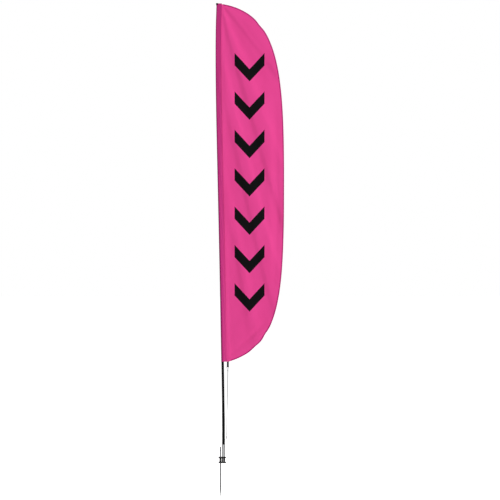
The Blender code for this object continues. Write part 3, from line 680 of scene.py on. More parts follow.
def loop_piece(name, wire_centre, wire, crimp, downwards):
    """The cord's loop over a wire that runs along X, with both ends in the crimp."""
    sign = -1 if downwards else 1
    radius = wire + LOOP_CORD_RADIUS + 0.0002
    over = arc_points((0, 0), radius, math.radians(-20), math.radians(200), 18)
    bend = [Vector((wire_centre.x, y, wire_centre.z + sign * z)) for y, z in over]
    leg = Vector((crimp.x, LOOP_CORD_RADIUS * 0.55, crimp.z))
    other_leg = Vector((crimp.x, -LOOP_CORD_RADIUS * 0.55, crimp.z))
    middle = leg.lerp(bend[0], 0.55) - Vector((0, LEGS_APART, 0))
    other_middle = other_leg.lerp(bend[-1], 0.55) + Vector((0, LEGS_APART, 0))
    data = sweep_data([leg, middle, *bend, other_middle, other_leg], round_section(LOOP_CORD_RADIUS, 14))
    return add_piece(name, mesh_from(name, *data), elastic_braid, "mast")


ring_foot = Vector((middle_of((ring_low, ring_high)).x, 0, ring_low.z + ring_wire))
eye_head = Vector((middle_of(lower_crimp_box).x, 0, eye_high.z - eye_wire))
upper_loop = loop_piece("upper_cord_loop", ring_foot, ring_wire, upper_crimp, False)
lower_loop = loop_piece("lower_cord_loop", eye_head, eye_wire, lower_crimp, True)


def crimp_piece(name, centre, node):
    """A pressed sleeve: three shallow waists where the tool closed it."""
    radius = (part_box(node)[1].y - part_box(node)[0].y) / 2
    path = [centre + cord_line * crimp_half * (2 * i / CRIMP_STEPS - 1) for i in range(CRIMP_STEPS + 1)]

    def section(i):
        waist = 1 - CRIMP_WAIST + CRIMP_WAIST * math.cos(math.tau * 3 * i / CRIMP_STEPS) ** 2
        end = 0.9 if i in (0, CRIMP_STEPS) else 1.0
        return [(a * waist * end, b * end) for a, b in round_section(radius, 24)(i)]

    mesh = mesh_from(name, *sweep_data(path, section))
    return add_piece(name, mesh, finishes["rubber"], "mast", [node])


upper_sleeve = crimp_piece("upper_crimp_sleeve", upper_crimp, "upper_bungee_crimp")
lower_sleeve = crimp_piece("lower_crimp_sleeve", lower_crimp, "lower_bungee_crimp")

# %% [markdown]
# ## The cut of the sail
# The sail's free edge is a long curve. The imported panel's corners give it, and a smooth curve through them
# gives as many points as the cloth needs. Rows of points then fan out from the seam to that edge, so that
# the squares stay even right into the tip.

# %% Free edge of the sail
EDGE_POINTS = 720
SEAM_OVERLAP = 0.0012
OFF_SEAM = 0.002  # a corner farther than this from the seam is on the free edge

# Where the hem's thread is tight it draws the edge in: height, depth and half length of each place.
DRAWN_IN = ((3.482, 0.0055, 0.034), (1.022, 0.0055, 0.034), (0.922, 0.0050, 0.028))


def drawn_in(points):
    """The edge with its tight places: each point moved square to the edge, into the sail."""
    moved = []
    for i, point in enumerate(points):
        a, b = points[max(0, i - 1)], points[min(len(points) - 1, i + 1)]
        along = (b - a).normalized()
        depth = sum(most * math.exp(-(((point.y - z) / half) ** 2)) for z, most, half in DRAWN_IN)
        moved.append((point.x + along.y * depth, point.y - along.x * depth))
    return moved


def free_edge():
    """Evenly spaced points (x, z) along the free edge, from the tip to the lower corner."""
    found = {
        (round(v.co.x, 5), round(v.co.z, 5))
        for v in nodes["sail_panel"].data.vertices
        if v.co.x > seam_at(v.co.z) + OFF_SEAM
    }
    knots = [Vector((x, z, 0)) for x, z in sorted(found, key=lambda p: -p[1])]
    knots = [knots[0] * 2 - knots[1], *knots, knots[-1] * 2 - knots[-2]]
    fine = []
    for before, a, b, after in zip(knots, knots[1:], knots[2:], knots[3:]):
        fine += interpolate_bezier(a, a + (b - before) / 6, b - (after - a) / 6, b, 24)[:-1]
    fine.append(knots[-2])
    walked = [0.0]
    for a, b in zip(fine, fine[1:]):
        walked.append(walked[-1] + (b - a).length)
    points, i = [], 0
    for k in range(EDGE_POINTS + 1):
        target = walked[-1] * k / EDGE_POINTS
        while i < len(fine) - 2 and walked[i + 1] < target:
            i += 1
        share = (target - walked[i]) / (walked[i + 1] - walked[i])
        points.append(fine[i].lerp(fine[i + 1], min(1.0, share)))
    return drawn_in(points), walked[-1]


edge_line, edge_length = free_edge()
sail_low = edge_line[-1][1]
sail_high = edge_line[0][1]
print("free edge", round(edge_length, 3), "m, sail from", round(sail_low, 3), "to", round(sail_high, 3))


def flat_sail(rows, columns):
    """The sail's flat corners (x, z) in fanned rows, and its faces."""
    corners = []
    for i in range(rows + 1):
        height = sail_high + (sail_low - sail_high) * i / rows
        near = Vector((seam_at(height) - SEAM_OVERLAP, height))
        far = Vector(edge_line[round(EDGE_POINTS * i / rows)])
        corners += [tuple(near.lerp(far, j / columns)) for j in range(columns + 1)]
    return corners, grid_faces(rows, columns)


# %% [markdown]
# ## Wind in the cloth
# Cloth that is only held along the pole never hangs flat: the bend of the pole pulls soft diagonal folds
# out of the tip, and the free edge ripples. Blender's Cloth can find that shape. A coarse copy of the sail
# starts with the folds faintly pressed in, is held along its seam and at its lower corner, and is let go
# in a light breeze for about two seconds. Only how far each point moves out of the flat is kept, so the
# cut of the sail stays exact, and that lift is limited to what the room round the flag allows.

# %% Simulate the sail
SIM_ROWS, SIM_COLUMNS = 144, 26
SIM_FRAMES = 46
LIFT_LIMIT = 0.015
SIM_SHARE = 0.4  # the rest of the lift is the pressed folds
RIPPLE = 0.006
FREE_OF_SEAM = 0.03  # the cloth is flat at the seam and free this far from it

# Each pressed fold: its two ends (x, z), how wide it is and how far it stands out.
FOLDS = (
    ((0.02, 3.52), (0.36, 2.98), 0.034, 0.008),
    ((0.00, 3.36), (0.42, 2.62), 0.046, -0.008),
    ((0.10, 3.56), (0.40, 3.16), 0.026, 0.007),
    ((0.02, 3.05), (0.40, 2.30), 0.056, 0.006),
    ((0.41, 2.95), (0.43, 1.75), 0.024, 0.008),
    ((0.35, 2.70), (0.37, 1.55), 0.030, -0.006),
    ((0.44, 2.20), (0.40, 1.35), 0.020, 0.006),
    ((0.05, 2.35), (0.12, 1.25), 0.050, 0.004),
    ((0.04, 0.85), (0.34, 1.12), 0.016, 0.013),
    ((0.06, 1.00), (0.40, 1.42), 0.040, -0.006),
    ((0.02, 1.35), (0.30, 1.85), 0.060, -0.004),
)


def pressed_lift(x, z):
    """How far the pressed folds stand out at a point of the flat sail."""
    lift = 0.0
    for start, end, width, depth in FOLDS:
        start, end = Vector(start), Vector(end)
        run = end - start
        place = Vector((x, z)) - start
        share = place.dot(run) / run.length_squared
        off = abs(place.cross(run)) / run.length
        fade = math.sin(math.pi * min(1.0, max(0.0, share))) ** 0.6
        lift += depth * fade * math.exp(-((off / width) ** 2))
    ripple = noise.noise(Vector((x * 4.0, 0.3, z * 1.5)))
    return lift + RIPPLE * ripple * min(1.0, max(0.0, (x - seam_at(z)) / 0.15))


def simulated_lift(corners, faces):
    """Lets a copy of the sail go in a light breeze and returns each corner's y."""
    mesh = bpy.data.meshes.new("sail_trial")
    mesh.from_pydata([(x, pressed_lift(x, z), z) for x, z in corners], [], faces)
    sheet = bpy.data.objects.new("sail_trial", mesh)
    bpy.context.scene.collection.objects.link(sheet)
    held = sheet.vertex_groups.new(name="held")
    held.add([i for i in range(len(corners)) if i % (SIM_COLUMNS + 1) == 0], 1.0, "REPLACE")
    held.add(list(range(len(corners) - SIM_COLUMNS - 1, len(corners))), 1.0, "REPLACE")
    bpy.ops.object.effector_add(type="WIND", rotation=(0, math.radians(90), math.radians(14)))
    breeze = bpy.context.object
    breeze.field.strength = 6.0
    breeze.field.noise = 2.0
    breeze.field.seed = 5
    cloth = sheet.modifiers.new("cloth", "CLOTH")
    settings = cloth.settings
    settings.quality = 5
    settings.mass = 0.15
    settings.tension_stiffness = 20
    settings.compression_stiffness = 20
    settings.shear_stiffness = 6
    settings.bending_stiffness = 0.6
    settings.shrink_min = -0.008
    settings.vertex_group_mass = "held"
    settings.effector_weights.gravity = 0.35
    cloth.point_cache.frame_start = 1
    cloth.point_cache.frame_end = SIM_FRAMES
    for number in range(1, SIM_FRAMES + 1):
        bpy.context.scene.frame_set(number)
    graph = bpy.context.evaluated_depsgraph_get()
    moved = sheet.evaluated_get(graph).to_mesh()
    lifts = [corner.co.y for corner in moved.vertices]
    bpy.context.scene.frame_set(1)
    bpy.data.objects.remove(sheet, do_unlink=True)
    bpy.data.objects.remove(breeze, do_unlink=True)
    bpy.data.meshes.remove(mesh)
    return lifts


def relaxed(values, rows, columns, rounds):
    """Averages each corner of the grid with its neighbours, to take out single-thread jitter."""
    for _ in range(rounds):
        fresh = list(values)
        for i in range(rows + 1):
            for j in range(columns + 1):
                around = []
                for di, dj in ((-1, 0), (1, 0), (0, -1), (0, 1)):
                    a, b = i + di, j + dj
                    if 0 <= a <= rows and 0 <= b <= columns:
                        around.append(values[a * (columns + 1) + b])
                k = i * (columns + 1) + j
                fresh[k] = 0.5 * values[k] + 0.5 * sum(around) / len(around)
        values = fresh
    return values


def soft_limit(value):
    return LIFT_LIMIT * math.tanh(value / LIFT_LIMIT)


sim_corners, sim_faces = flat_sail(SIM_ROWS, SIM_COLUMNS)
pressed = [pressed_lift(x, z) for x, z in sim_corners]
raw = simulated_lift(sim_corners, sim_faces)
raw = relaxed(raw, SIM_ROWS, SIM_COLUMNS, 3)
print("cloth moved between", round(min(raw), 4), "and", round(max(raw), 4))
lifts = [SIM_SHARE * a + (1 - SIM_SHARE) * b for a, b in zip(map(soft_limit, raw), pressed)]
near_seam = [min(1.0, (x - seam_at(z)) / FREE_OF_SEAM) for x, z in sim_corners]
lifts = [soft_limit(lift) * max(0.0, near) for lift, near in zip(lifts, near_seam)]
print("lift between", round(min(lifts), 4), "and", round(max(lifts), 4))

# %% [markdown]
# ### Reading the lift anywhere
# Everything sewn to the sail has to follow it: the print, the hem, the stitches and the webbing. So the
# simulated grid is kept as a map. A ray through the flat sail finds the triangle that holds a point, and
# the same place in the lifted triangle gives its y.

# %% Lift map
def lift_map():
    triangles = []
    for a, b, c, d in sim_faces:
        triangles += [(a, b, c), (a, c, d)]
    flat = [Vector((x, 0, z)) for x, z in sim_corners]
    lifted = [Vector((x, y, z)) for (x, z), y in zip(sim_corners, lifts)]
    return BVHTree.FromPolygons(flat, triangles), triangles, flat, lifted


sail_tree, sail_triangles, flat_points, lifted_points = lift_map()


def lift_at(x, z):
    """y of the cloth's middle at a point of the flat sail."""
    place, _, index, _ = sail_tree.find_nearest(Vector((x, 0, z)))
    a, b, c = sail_triangles[index]
    return barycentric_transform(
        place,
        flat_points[a],
        flat_points[b],
        flat_points[c],
        lifted_points[a],
        lifted_points[b],
        lifted_points[c],
    ).y


# %% [markdown]
# ## Sail with its printed figures
# The print is a column of seven plain arrowheads that point down to the ground. Their edges have to be
# crisp on both faces of the cloth, so the outlines are cut into the mesh with bisecting planes, and the
# faces inside them take the ink material.

# %% Sail panel
SAIL_ROWS, SAIL_COLUMNS = 360, 62
CLOTH_THICKNESS = 0.0005
MARK_COUNT = 7
MARK_X = 0.207
MARK_TOP = 3.146  # height of the top figure's middle
MARK_PITCH = 0.305
MARK_WIDTH = 0.238
MARK_HEIGHT = 0.226
MARK_BAND = 0.098  # height of the arrowhead's arm, measured upright
MARK_ROOM = 0.012  # how far past a figure the cloth is cut


def mark_edges(middle_height):
    """The figure's cutting lines, as (point, normal) pairs in the flat sail."""
    half, rise = MARK_WIDTH / 2, MARK_HEIGHT - MARK_BAND
    lines = [((MARK_X + side * half, middle_height), (1, 0)) for side in (-1, 1)]
    for side in (-1, 1):
        normal = (side * rise / half, -1)
        for offset in (MARK_BAND, 0):
            foot = (MARK_X, middle_height - MARK_HEIGHT / 2 + offset)
            lines.append((foot, normal))
    return lines


def in_mark(x, z):
    """Whether a point of the flat sail is inside one of the figures."""
    out = abs(x - MARK_X)
    if out > MARK_WIDTH / 2:
        return False
    number = round((MARK_TOP - z) / MARK_PITCH)
    if not 0 <= number < MARK_COUNT:
        return False
    middle = MARK_TOP - number * MARK_PITCH
    rise = (MARK_HEIGHT - MARK_BAND) * out / (MARK_WIDTH / 2)
    above_foot = z - (middle - MARK_HEIGHT / 2) - rise
    return 0 < above_foot < MARK_BAND


def cut_marks(shape):
    """Cuts each figure's outline into the flat sail."""
    for number in range(MARK_COUNT):
        middle = MARK_TOP - number * MARK_PITCH
        reach_x, reach_z = MARK_WIDTH / 2 + MARK_ROOM, MARK_HEIGHT / 2 + MARK_ROOM
        for point, normal in mark_edges(middle):
            near = [
                face
                for face in shape.faces
                if abs(face.calc_center_median().x - MARK_X) < reach_x
                and abs(face.calc_center_median().z - middle) < reach_z
            ]
            geometry = {e for face in near for e in face.edges} | {v for face in near for v in face.verts}
            bmesh.ops.bisect_plane(
                shape,
                geom=near + list(geometry),
                dist=0.0001,
                plane_co=(point[0], 0, point[1]),
                plane_no=(normal[0], 0, normal[1]),
            )


def build_sail():
    corners, faces = flat_sail(SAIL_ROWS, SAIL_COLUMNS)
    mesh = bpy.data.meshes.new("sail")
    mesh.from_pydata([(x, 0, z) for x, z in corners], [], faces)
    shape = bmesh.new()
    shape.from_mesh(mesh)
    cut_marks(shape)
    for face in shape.faces:
        middle = face.calc_center_median()
        face.material_index = int(in_mark(middle.x, middle.z))
        face.smooth = True
    for corner in shape.verts:
        corner.co.y = lift_at(corner.co.x, corner.co.z)
    bmesh.ops.recalc_face_normals(shape, faces=shape.faces)
    area = sum(face.calc_area() for face in shape.faces)
    shape.to_mesh(mesh)
    shape.free()
    mesh.materials.append(sail_cloth)
    mesh.materials.append(ink_cloth)
    piece = add_piece("sail", mesh, sail_cloth, "mast", ["sail_panel"], smooth=False)
    thicken(piece, CLOTH_THICKNESS)
    return piece, area


sail, sail_area = build_sail()
print("sail", round(sail_area, 3), "m2,", len(sail.data.polygons), "faces")

# %% [markdown]
# ## Hem and stitches
# The free edge is turned over twice and sewn with one row of stitches, which makes a narrow flat tube of
# three layers. It is swept along the edge as a flat rounded section that leans with the cloth.

# %% Hem
HEM_WIDTH = 0.009
HEM_HALF = 0.0011
HEM_OUT = 0.0006
HEM_PUCKER = 0.0003


def edge_frame(i):
    """The edge's point i and the flat direction into the sail."""
    a, b = edge_line[max(0, i - 1)], edge_line[min(EDGE_POINTS, i + 1)]
    along = Vector((b[0] - a[0], b[1] - a[1])).normalized()
    return Vector(edge_line[i]), Vector((along.y, -along.x))


def into_sail(i, distance):
    """Flat point (x, z) at a distance in from the free edge."""
    point, inward = edge_frame(i)
    return point + inward * distance


def build_hem():
    across = [0.0, 0.12, 0.5, 0.88, 1.0]
    corners = []
    for i in range(EDGE_POINTS + 1):
        ring = []
        pucker = HEM_PUCKER * noise.noise(Vector((i * 0.35, 1.7, 0)))
        for sign in (1, -1):
            shares = across if sign == 1 else across[::-1]
            for share in shares:
                flat = into_sail(i, HEM_WIDTH * share - HEM_OUT)
                bulge = HEM_HALF * (0.35 if share in (0.0, 1.0) else 1.0) + pucker
                ring.append((flat.x, lift_at(flat.x, flat.y) + sign * bulge, flat.y))
        corners += ring
    count = 2 * len(across)
    faces = ring_faces(EDGE_POINTS + 1, count)
    faces.append(tuple(range(count)))
    faces.append(tuple(range(EDGE_POINTS * count, (EDGE_POINTS + 1) * count)))
    return add_piece("sail_hem", mesh_from("sail_hem", corners, faces), shaded_hem_cloth, "mast")


hem = build_hem()

# %% [markdown]
# A stitch is a short raised length of thread that dives at both ends. Each is a small six-cornered
# spindle, laid on the cloth's face, and a row of them is one mesh. The seam of the sleeve has two rows,
# and the hem has one.

# %% Stitches
STITCH_LENGTH = 0.0034
STITCH_PITCH = 0.0044
STITCH_HALF = 0.00035
FACES_PER_STITCH = 16  # eight on the front of the cloth and eight on the back


def stitch_row(line, height_at):
    """Corners and faces of stitches along a line of flat points (x, z), on both faces of the cloth.

    height_at(x, z) gives (y of the front face, y of the back face)."""
    corners, faces = [], []
    walked, target = 0.0, 0.0
    for a, b in zip(line, line[1:]):
        a, b = Vector(a), Vector(b)
        run = (b - a).length
        if run < 1e-9:
            continue
        along = (b - a) / run
        across = Vector((along.y, -along.x))
        while target < walked + run:
            middle = a + along * (target - walked)
            for side, y in enumerate(height_at(middle.x, middle.y)):
                out = -1 if side == 0 else 1
                first = len(corners)
                for reach, sideways, proud in (
                    (-0.5, 0, -0.2),
                    (0.5, 0, -0.2),
                    (0, 1, 0.1),
                    (0, -1, 0.1),
                    (0, 0, 1.3),
                    (0, 0, -0.6),
                ):
                    flat = middle + along * reach * STITCH_LENGTH + across * sideways * STITCH_HALF
                    corners.append((flat.x, y + out * proud * STITCH_HALF, flat.y))
                for end in (0, 1):
                    for x, z in ((2, 4), (4, 3), (3, 5), (5, 2)):
                        faces.append((first + end, first + x, first + z))
            target += STITCH_PITCH
        walked += run
    return corners, faces


def sewn(name, lines, faces_at, thread):
    """One piece that holds the stitches along each of the flat lines."""
    corners, faces = [], []
    for line in lines:
        row_corners, row_faces = stitch_row(line, faces_at)
        shift = len(corners)
        corners += row_corners
        faces += [tuple(i + shift for i in face) for face in row_faces]
    print(name, len(faces) // FACES_PER_STITCH)
    return add_piece(name, mesh_from(name, corners, faces), thread, "mast", smooth=False)


def hem_faces(x, z):
    y = lift_at(x, z)
    return y - HEM_HALF, y + HEM_HALF


hem_stitch_line = [tuple(into_sail(i, HEM_WIDTH * 0.72)) for i in range(4, EDGE_POINTS - 3)]
hem_stitches = sewn("hem_stitches", [hem_stitch_line], hem_faces, thread_pink)
print("hem", round(edge_length, 2), "m")

# %% [markdown]
# ## Sleeve
# The sleeve is the sail's own cloth, folded back round the pole and sewn to itself. Seen end on it is a
# teardrop: round where it wraps the pole, and flat towards the seam. Its rows are built like that from
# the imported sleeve's rings, with small creases where the flat part is slack, and a doubled hem at its
# open foot. Solidify gives the cloth its thickness, and the top is sewn shut.

# %% Pole sleeve
SLEEVE_ROWS = 400
SLEEVE_CLOTH = 0.0006
SLEEVE_WRAP_STEPS = 14
SLEEVE_SIDE_STEPS = 9
FOOT_HEM = 0.022
FOOT_HEM_SWELL = 0.0005
SEAM_HALF = 0.0010


def crease(z, share, face):
    """Slackness of the flat part: shallow creases that run down and out from the pole."""
    slack = math.sin(math.pi * share) ** 0.8
    slow = noise.noise(Vector((z * 3.1, share * 1.1 + face * 7, 2.0)))
    fast = noise.noise(Vector((z * 11.0 - share * 1.6, share * 1.3, face * 5 + 9.0)))
    return slack * (0.0016 * slow + 0.0009 * fast)


def sleeve_outline(z):
    """Points (x, y) round the sleeve's middle surface at a height, from the seam's front to its back."""
    _, left, right, half = smooth_row(sleeve_rings, z)
    centre, seam = left + half, right - SEAM_HALF
    wrap = half - SLEEVE_CLOTH / 2
    lean = math.acos((wrap - SEAM_HALF) / (seam - centre))
    front = [(centre + wrap * math.cos(-lean), wrap * math.sin(-lean))]
    front_seam = (seam + SEAM_HALF * math.cos(-lean), SEAM_HALF * math.sin(-lean))
    points = []
    for i in range(SLEEVE_SIDE_STEPS):
        share = i / SLEEVE_SIDE_STEPS
        x = front_seam[0] + (front[0][0] - front_seam[0]) * share
        y = front_seam[1] + (front[0][1] - front_seam[1]) * share
        points.append((x, y - abs(crease(z, share, 0))))
    for i in range(SLEEVE_WRAP_STEPS + 1):
        angle = -lean - (math.tau - 2 * lean) * i / SLEEVE_WRAP_STEPS
        points.append((centre + wrap * math.cos(angle), wrap * math.sin(angle)))
    back = points[-1]
    for i in range(1, SLEEVE_SIDE_STEPS + 1):
        share = i / SLEEVE_SIDE_STEPS
        x = back[0] + (front_seam[0] - back[0]) * share
        y = back[1] + (-front_seam[1] - back[1]) * share
        points.append((x, y + abs(crease(z, share, 1))))
    return points


def build_sleeve():
    corners = []
    for i in range(SLEEVE_ROWS + 1):
        z = sleeve_bottom + (sleeve_top - SLEEVE_CLOTH / 2 - sleeve_bottom) * i / SLEEVE_ROWS
        swell = FOOT_HEM_SWELL if z < sleeve_bottom + FOOT_HEM else 0.0
        for x, y in sleeve_outline(z):
            corners.append((x, y + math.copysign(swell, y), z))
    count = len(corners) // (SLEEVE_ROWS + 1)
    faces = ring_faces(SLEEVE_ROWS + 1, count)
    faces.append(tuple(range(SLEEVE_ROWS * count, (SLEEVE_ROWS + 1) * count)))
    mesh = mesh_from("sleeve", corners, faces)
    area = sum(face.area for face in mesh.polygons)
    piece = add_piece("sleeve", mesh, sleeve_cloth, "mast", ["pole_sleeve"])
    thicken(piece, SLEEVE_CLOTH)
    return piece, area


sleeve, sleeve_area = build_sleeve()
print("sleeve", round(sleeve_area, 3), "m2")


def sleeve_faces(x, z):
    """y of the sleeve's front and back surfaces at a point of its flat part."""
    _, left, right, half = smooth_row(sleeve_rings, z)
    share = min(1.0, max(0.0, (right - x) / (right - left - half)))
    reach = SEAM_HALF + (half - SEAM_HALF) * share + SLEEVE_CLOTH / 2
    return -reach, reach


SEAM_INSETS = (0.0022, 0.0062)
SEAM_ENDS = 0.004  # unsewn at each end
SEAM_STEP = 0.02
seam_steps = int((sleeve_top - sleeve_bottom - 2 * SEAM_ENDS) / SEAM_STEP)
seam_heights = [sleeve_bottom + SEAM_ENDS + SEAM_STEP * i for i in range(seam_steps)]
seam_lines = [[(seam_at(z) - inset, z) for z in seam_heights] for inset in SEAM_INSETS]
seam_stitches = sewn("seam_stitches", seam_lines, sleeve_faces, thread_pink)

# %% [markdown]
# ## Webbing at the corners
# The lower corner ends in a strap of polyester webbing, folded round the ring's bar and sewn to both faces
# of the sail with a crossed box of stitches. The tip of the sleeve, which the pole's end pushes against,
# is capped with another short piece. Webbing is swept as a thick flat section, with rounded selvedges and
# fine ribs across it.

# %% Webbing tab and tip patch
WEB_HALF_THICK = 0.0006
TAB_RIBS = 7
RIB_DEPTH = 0.00008
SELVEDGE = 0.08  # rounded part of the width's half


def strap_section(half_width, half_thick, ribs):
    """A flat section with rounded selvedges and a shallow rib for every few threads."""
    across = 4 * ribs
    top = []
    for i in range(across + 1):
        share = i / across * 2 - 1
        rib = RIB_DEPTH * math.cos(math.tau * ribs * i / across)
        round_off = math.sqrt(max(0.0, 1 - (max(0.0, abs(share) - 1 + SELVEDGE) / SELVEDGE) ** 2))
        top.append((share * half_width, half_thick * (0.25 + 0.75 * round_off) + rib))
    bottom = [(a, -b) for a, b in reversed(top)]
    outline = top + bottom
    return lambda i: outline


def strap_mesh(name, path, half_width, half_thick, ribs):
    """A strap whose width runs along X, along a path in the YZ plane."""
    section = strap_section(half_width, half_thick, ribs)
    corners, faces = sweep_data(path, section)
    return mesh_from(name, corners, faces)


tab_low, tab_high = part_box("corner_tab")
tab_x = (tab_low.x + tab_high.x) / 2
bar_height = ring_high.z - ring_wire
fold_radius = ring_wire + GAP + WEB_HALF_THICK
leg = CLOTH_THICKNESS / 2 + GAP + WEB_HALF_THICK
knee = bar_height + 6 * fold_radius
fold = arc_points((0, bar_height), fold_radius, math.radians(170), math.radians(370), 16)
tab_path = []
for y, z in [(-leg, tab_high.z), (-leg, (tab_high.z + knee) / 2), (-leg, knee), *fold, (leg, knee)]:
    tab_path.append((tab_x, y, z))
tab_path += [(tab_x, leg, (tab_high.z + knee) / 2), (tab_x, leg, tab_high.z)]
follow = []
for x, y, z in tab_path:
    share = min(1.0, max(0.0, (z - sail_low) / (tab_high.z - sail_low)))
    follow.append((x, y + lift_at(x, z) * share, z))
tab_mesh = strap_mesh("webbing_tab", follow, (tab_high.x - tab_low.x) / 2, WEB_HALF_THICK, TAB_RIBS)
tab = add_piece("webbing_tab", tab_mesh, webbing, "mast", ["corner_tab"])


def tab_faces(x, z):
    y = lift_at(x, z)
    reach = leg + WEB_HALF_THICK
    return y - reach, y + reach


BOX_INSET = 0.0025
box_left, box_right = tab_low.x + BOX_INSET, tab_high.x - BOX_INSET
box_top, box_bottom = tab_high.z - 0.002, sail_low + 0.003
cross_box = [
    (box_left, box_bottom),
    (box_left, box_top),
    (box_right, box_top),
    (box_right, box_bottom),
    (box_left, box_bottom),
    (box_right, box_top),
]
tab_stitches = sewn("tab_stitches", [cross_box], tab_faces, thread_grey)

# %% [markdown]
# The webbing's ends lie under a doubled corner of sail cloth, so only its loop shows. The doubling is a
# pillow over the strap on each face: flat at its border, where it is stitched, and raised over the strap.

# %% Doubled corner
CORNER_ROWS, CORNER_COLUMNS = 34, 34
CORNER_HEIGHT = 0.029
CORNER_REACH = 0.058
CORNER_RISE = 0.0022
CORNER_EDGE_RISE = 0.0012
CORNER_SLOPE = 0.003
CORNER_CLOTH = 0.0004


def edge_x_at(z):
    """x of the free edge at a height in the lower part of the sail."""
    for a, b in zip(edge_line[::-1], edge_line[-2::-1]):
        if b[1] >= z:
            share = (z - a[1]) / max(1e-9, b[1] - a[1])
            return a[0] + (b[0] - a[0]) * share
    return edge_line[0][0]


def corner_rise(x, z):
    """How far the doubling stands off the sail's middle: raised over the strap, flat at its border."""
    strap_half = (tab_high.x - tab_low.x) / 2
    over = min(1.0, max(0.0, (strap_half + CORNER_SLOPE - abs(x - tab_x)) / CORNER_SLOPE))
    below = min(1.0, max(0.0, (tab_high.z + CORNER_SLOPE - z) / CORNER_SLOPE))
    return CORNER_EDGE_RISE + (CORNER_RISE - CORNER_EDGE_RISE) * over * below


def corner_side(sign):
    corners = []
    for i in range(CORNER_ROWS + 1):
        z = sail_low + GAP + CORNER_HEIGHT * i / CORNER_ROWS
        left, right = seam_at(z) + 0.0004, min(edge_x_at(z) + 0.0008, CORNER_REACH)
        for j in range(CORNER_COLUMNS + 1):
            x = left + (right - left) * j / CORNER_COLUMNS
            corners.append((x, lift_at(x, z) + sign * corner_rise(x, z), z))
    return corners


def build_corner():
    corners, faces = [], []
    for sign in (-1, 1):
        shift = len(corners)
        corners += corner_side(sign)
        for face in grid_faces(CORNER_ROWS, CORNER_COLUMNS):
            faces.append(tuple(i + shift for i in face)[::-sign])
    mesh = bpy.data.meshes.new("sail_corner")
    mesh.from_pydata(corners, [], faces)
    piece = add_piece("sail_corner", mesh, sail_cloth, "mast")
    thicken(piece, CORNER_CLOTH)
    return piece


def corner_faces(x, z):
    y, rise = lift_at(x, z), corner_rise(x, z) + 0.0002
    return y - rise, y + rise


sail_corner = build_corner()
corner_line = []
for i in range(25):
    z = sail_low + CORNER_HEIGHT * (0.985 - 0.95 * i / 24)
    corner_line.append((min(edge_x_at(z), CORNER_REACH) - 0.0018, z))
corner_line.insert(0, (seam_at(sail_low + CORNER_HEIGHT) + 0.002, corner_line[0][1]))
corner_stitches = sewn("corner_stitches", [corner_line], corner_faces, thread_pink)

# %% [markdown]
# The tip of the sleeve is capped with webbing, folded over the end and sewn through.

# %% Tip webbing
PATCH_DROP = 0.013  # how far it comes down on each side
PATCH_STAND = 0.0012  # how far its middle stands off the sleeve
PATCH_CREST = 0.0028  # rise of its fold

patch_low, patch_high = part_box("tip_patch")
patch_x = (patch_low.x + patch_high.x) / 2
patch_half = smooth_row(sleeve_rings, sleeve_top)[3] + PATCH_STAND
sides = [sleeve_top - PATCH_DROP, sleeve_top - 0.002]
patch_path = [(patch_x, -patch_half, z) for z in sides]
for y, rise in arc_points((0, 0), 1, math.pi, 0, 12):
    patch_path.append((patch_x, patch_half * y, sleeve_top - PATCH_STAND + PATCH_CREST * rise))
patch_path += [(patch_x, patch_half, z) for z in reversed(sides)]
patch_mesh = strap_mesh("tip_webbing", patch_path, (patch_high.x - patch_low.x) / 2, WEB_HALF_THICK, TAB_RIBS)
patch = add_piece("tip_webbing", patch_mesh, webbing, "mast", ["tip_patch"])

# %% [markdown]
# ### Width of the sail
# The sail's width is measured from its seam to the farthest point of its free edge.

sail_width = max(x for x, _ in edge_line) - min(seam_at(sail_low), seam_at(sail_high))

# %% [markdown]
# ## Ring and eye
# The ring is a moulded D: a straight bar for the webbing and a bow for the cord. The eye is bent wire with
# its shank in the pole's wall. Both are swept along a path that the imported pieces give.

# %% Ring and eye
ring_x = (ring_low.x + ring_high.x) / 2
ring_half = (ring_high.x - ring_low.x) / 2 - ring_wire
ring_depth = ring_high.z - ring_low.z - 2 * ring_wire
bow = arc_points((0, 0), 1, math.pi, math.tau, 40)
ring_path = [(ring_x + ring_half * x, 0, bar_height + ring_depth * z) for x, z in bow]
bar = [(ring_x + ring_half * (1 - 2 * i / 12), 0, bar_height) for i in range(1, 12)]
ring_mesh = mesh_from("d_ring", *sweep_data(ring_path + bar, round_section(ring_wire), closed_path=True))
add_piece("d_ring", ring_mesh, finishes["ring_plastic"], "mast", ["corner_ring"])

eye_radius = (eye_high.z - eye_low.z) / 2 - eye_wire
eye_centre = (eye_high.x - eye_wire - eye_radius, (eye_low.z + eye_high.z) / 2)
eye_turn = arc_points(eye_centre, eye_radius, math.pi, -math.radians(125), 36)
eye_path = [(eye_low.x, 0, eye_centre[1]), (eye_low.x + 0.004, 0, eye_centre[1])]
eye_path += [(x, 0, z) for x, z in eye_turn]
eye_mesh = mesh_from("wire_eye", *sweep_data(eye_path, round_section(eye_wire, 16)))
add_piece("wire_eye", eye_mesh, black_steel, "mast", ["bungee_eye"])
print("ring and eye made")

# %% [markdown]
# ## Pole foot and drive pin
# The lowest section is the only one that shows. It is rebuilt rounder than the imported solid, as a swept
# tube with a wall, through the same rings. The notch over the drive pin and the hole for the eye are cut
# with Booleans, as a maker would mill and drill them, and the rim gets a small chamfer.

# %% Lower pole section
POLE_STEPS = 72
POLE_ROWS = 110
POLE_WALL = 0.0014
RIM = 0.0005
PIN_CHAMFER = 0.0006

pole_low, pole_high = pole_rings[0][0], pole_rings[-1][0]
pin_low, pin_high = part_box("drive_pin")
pin_radius = (pin_high.z - pin_low.z) / 2
pin_height = (pin_high.z + pin_low.z) / 2


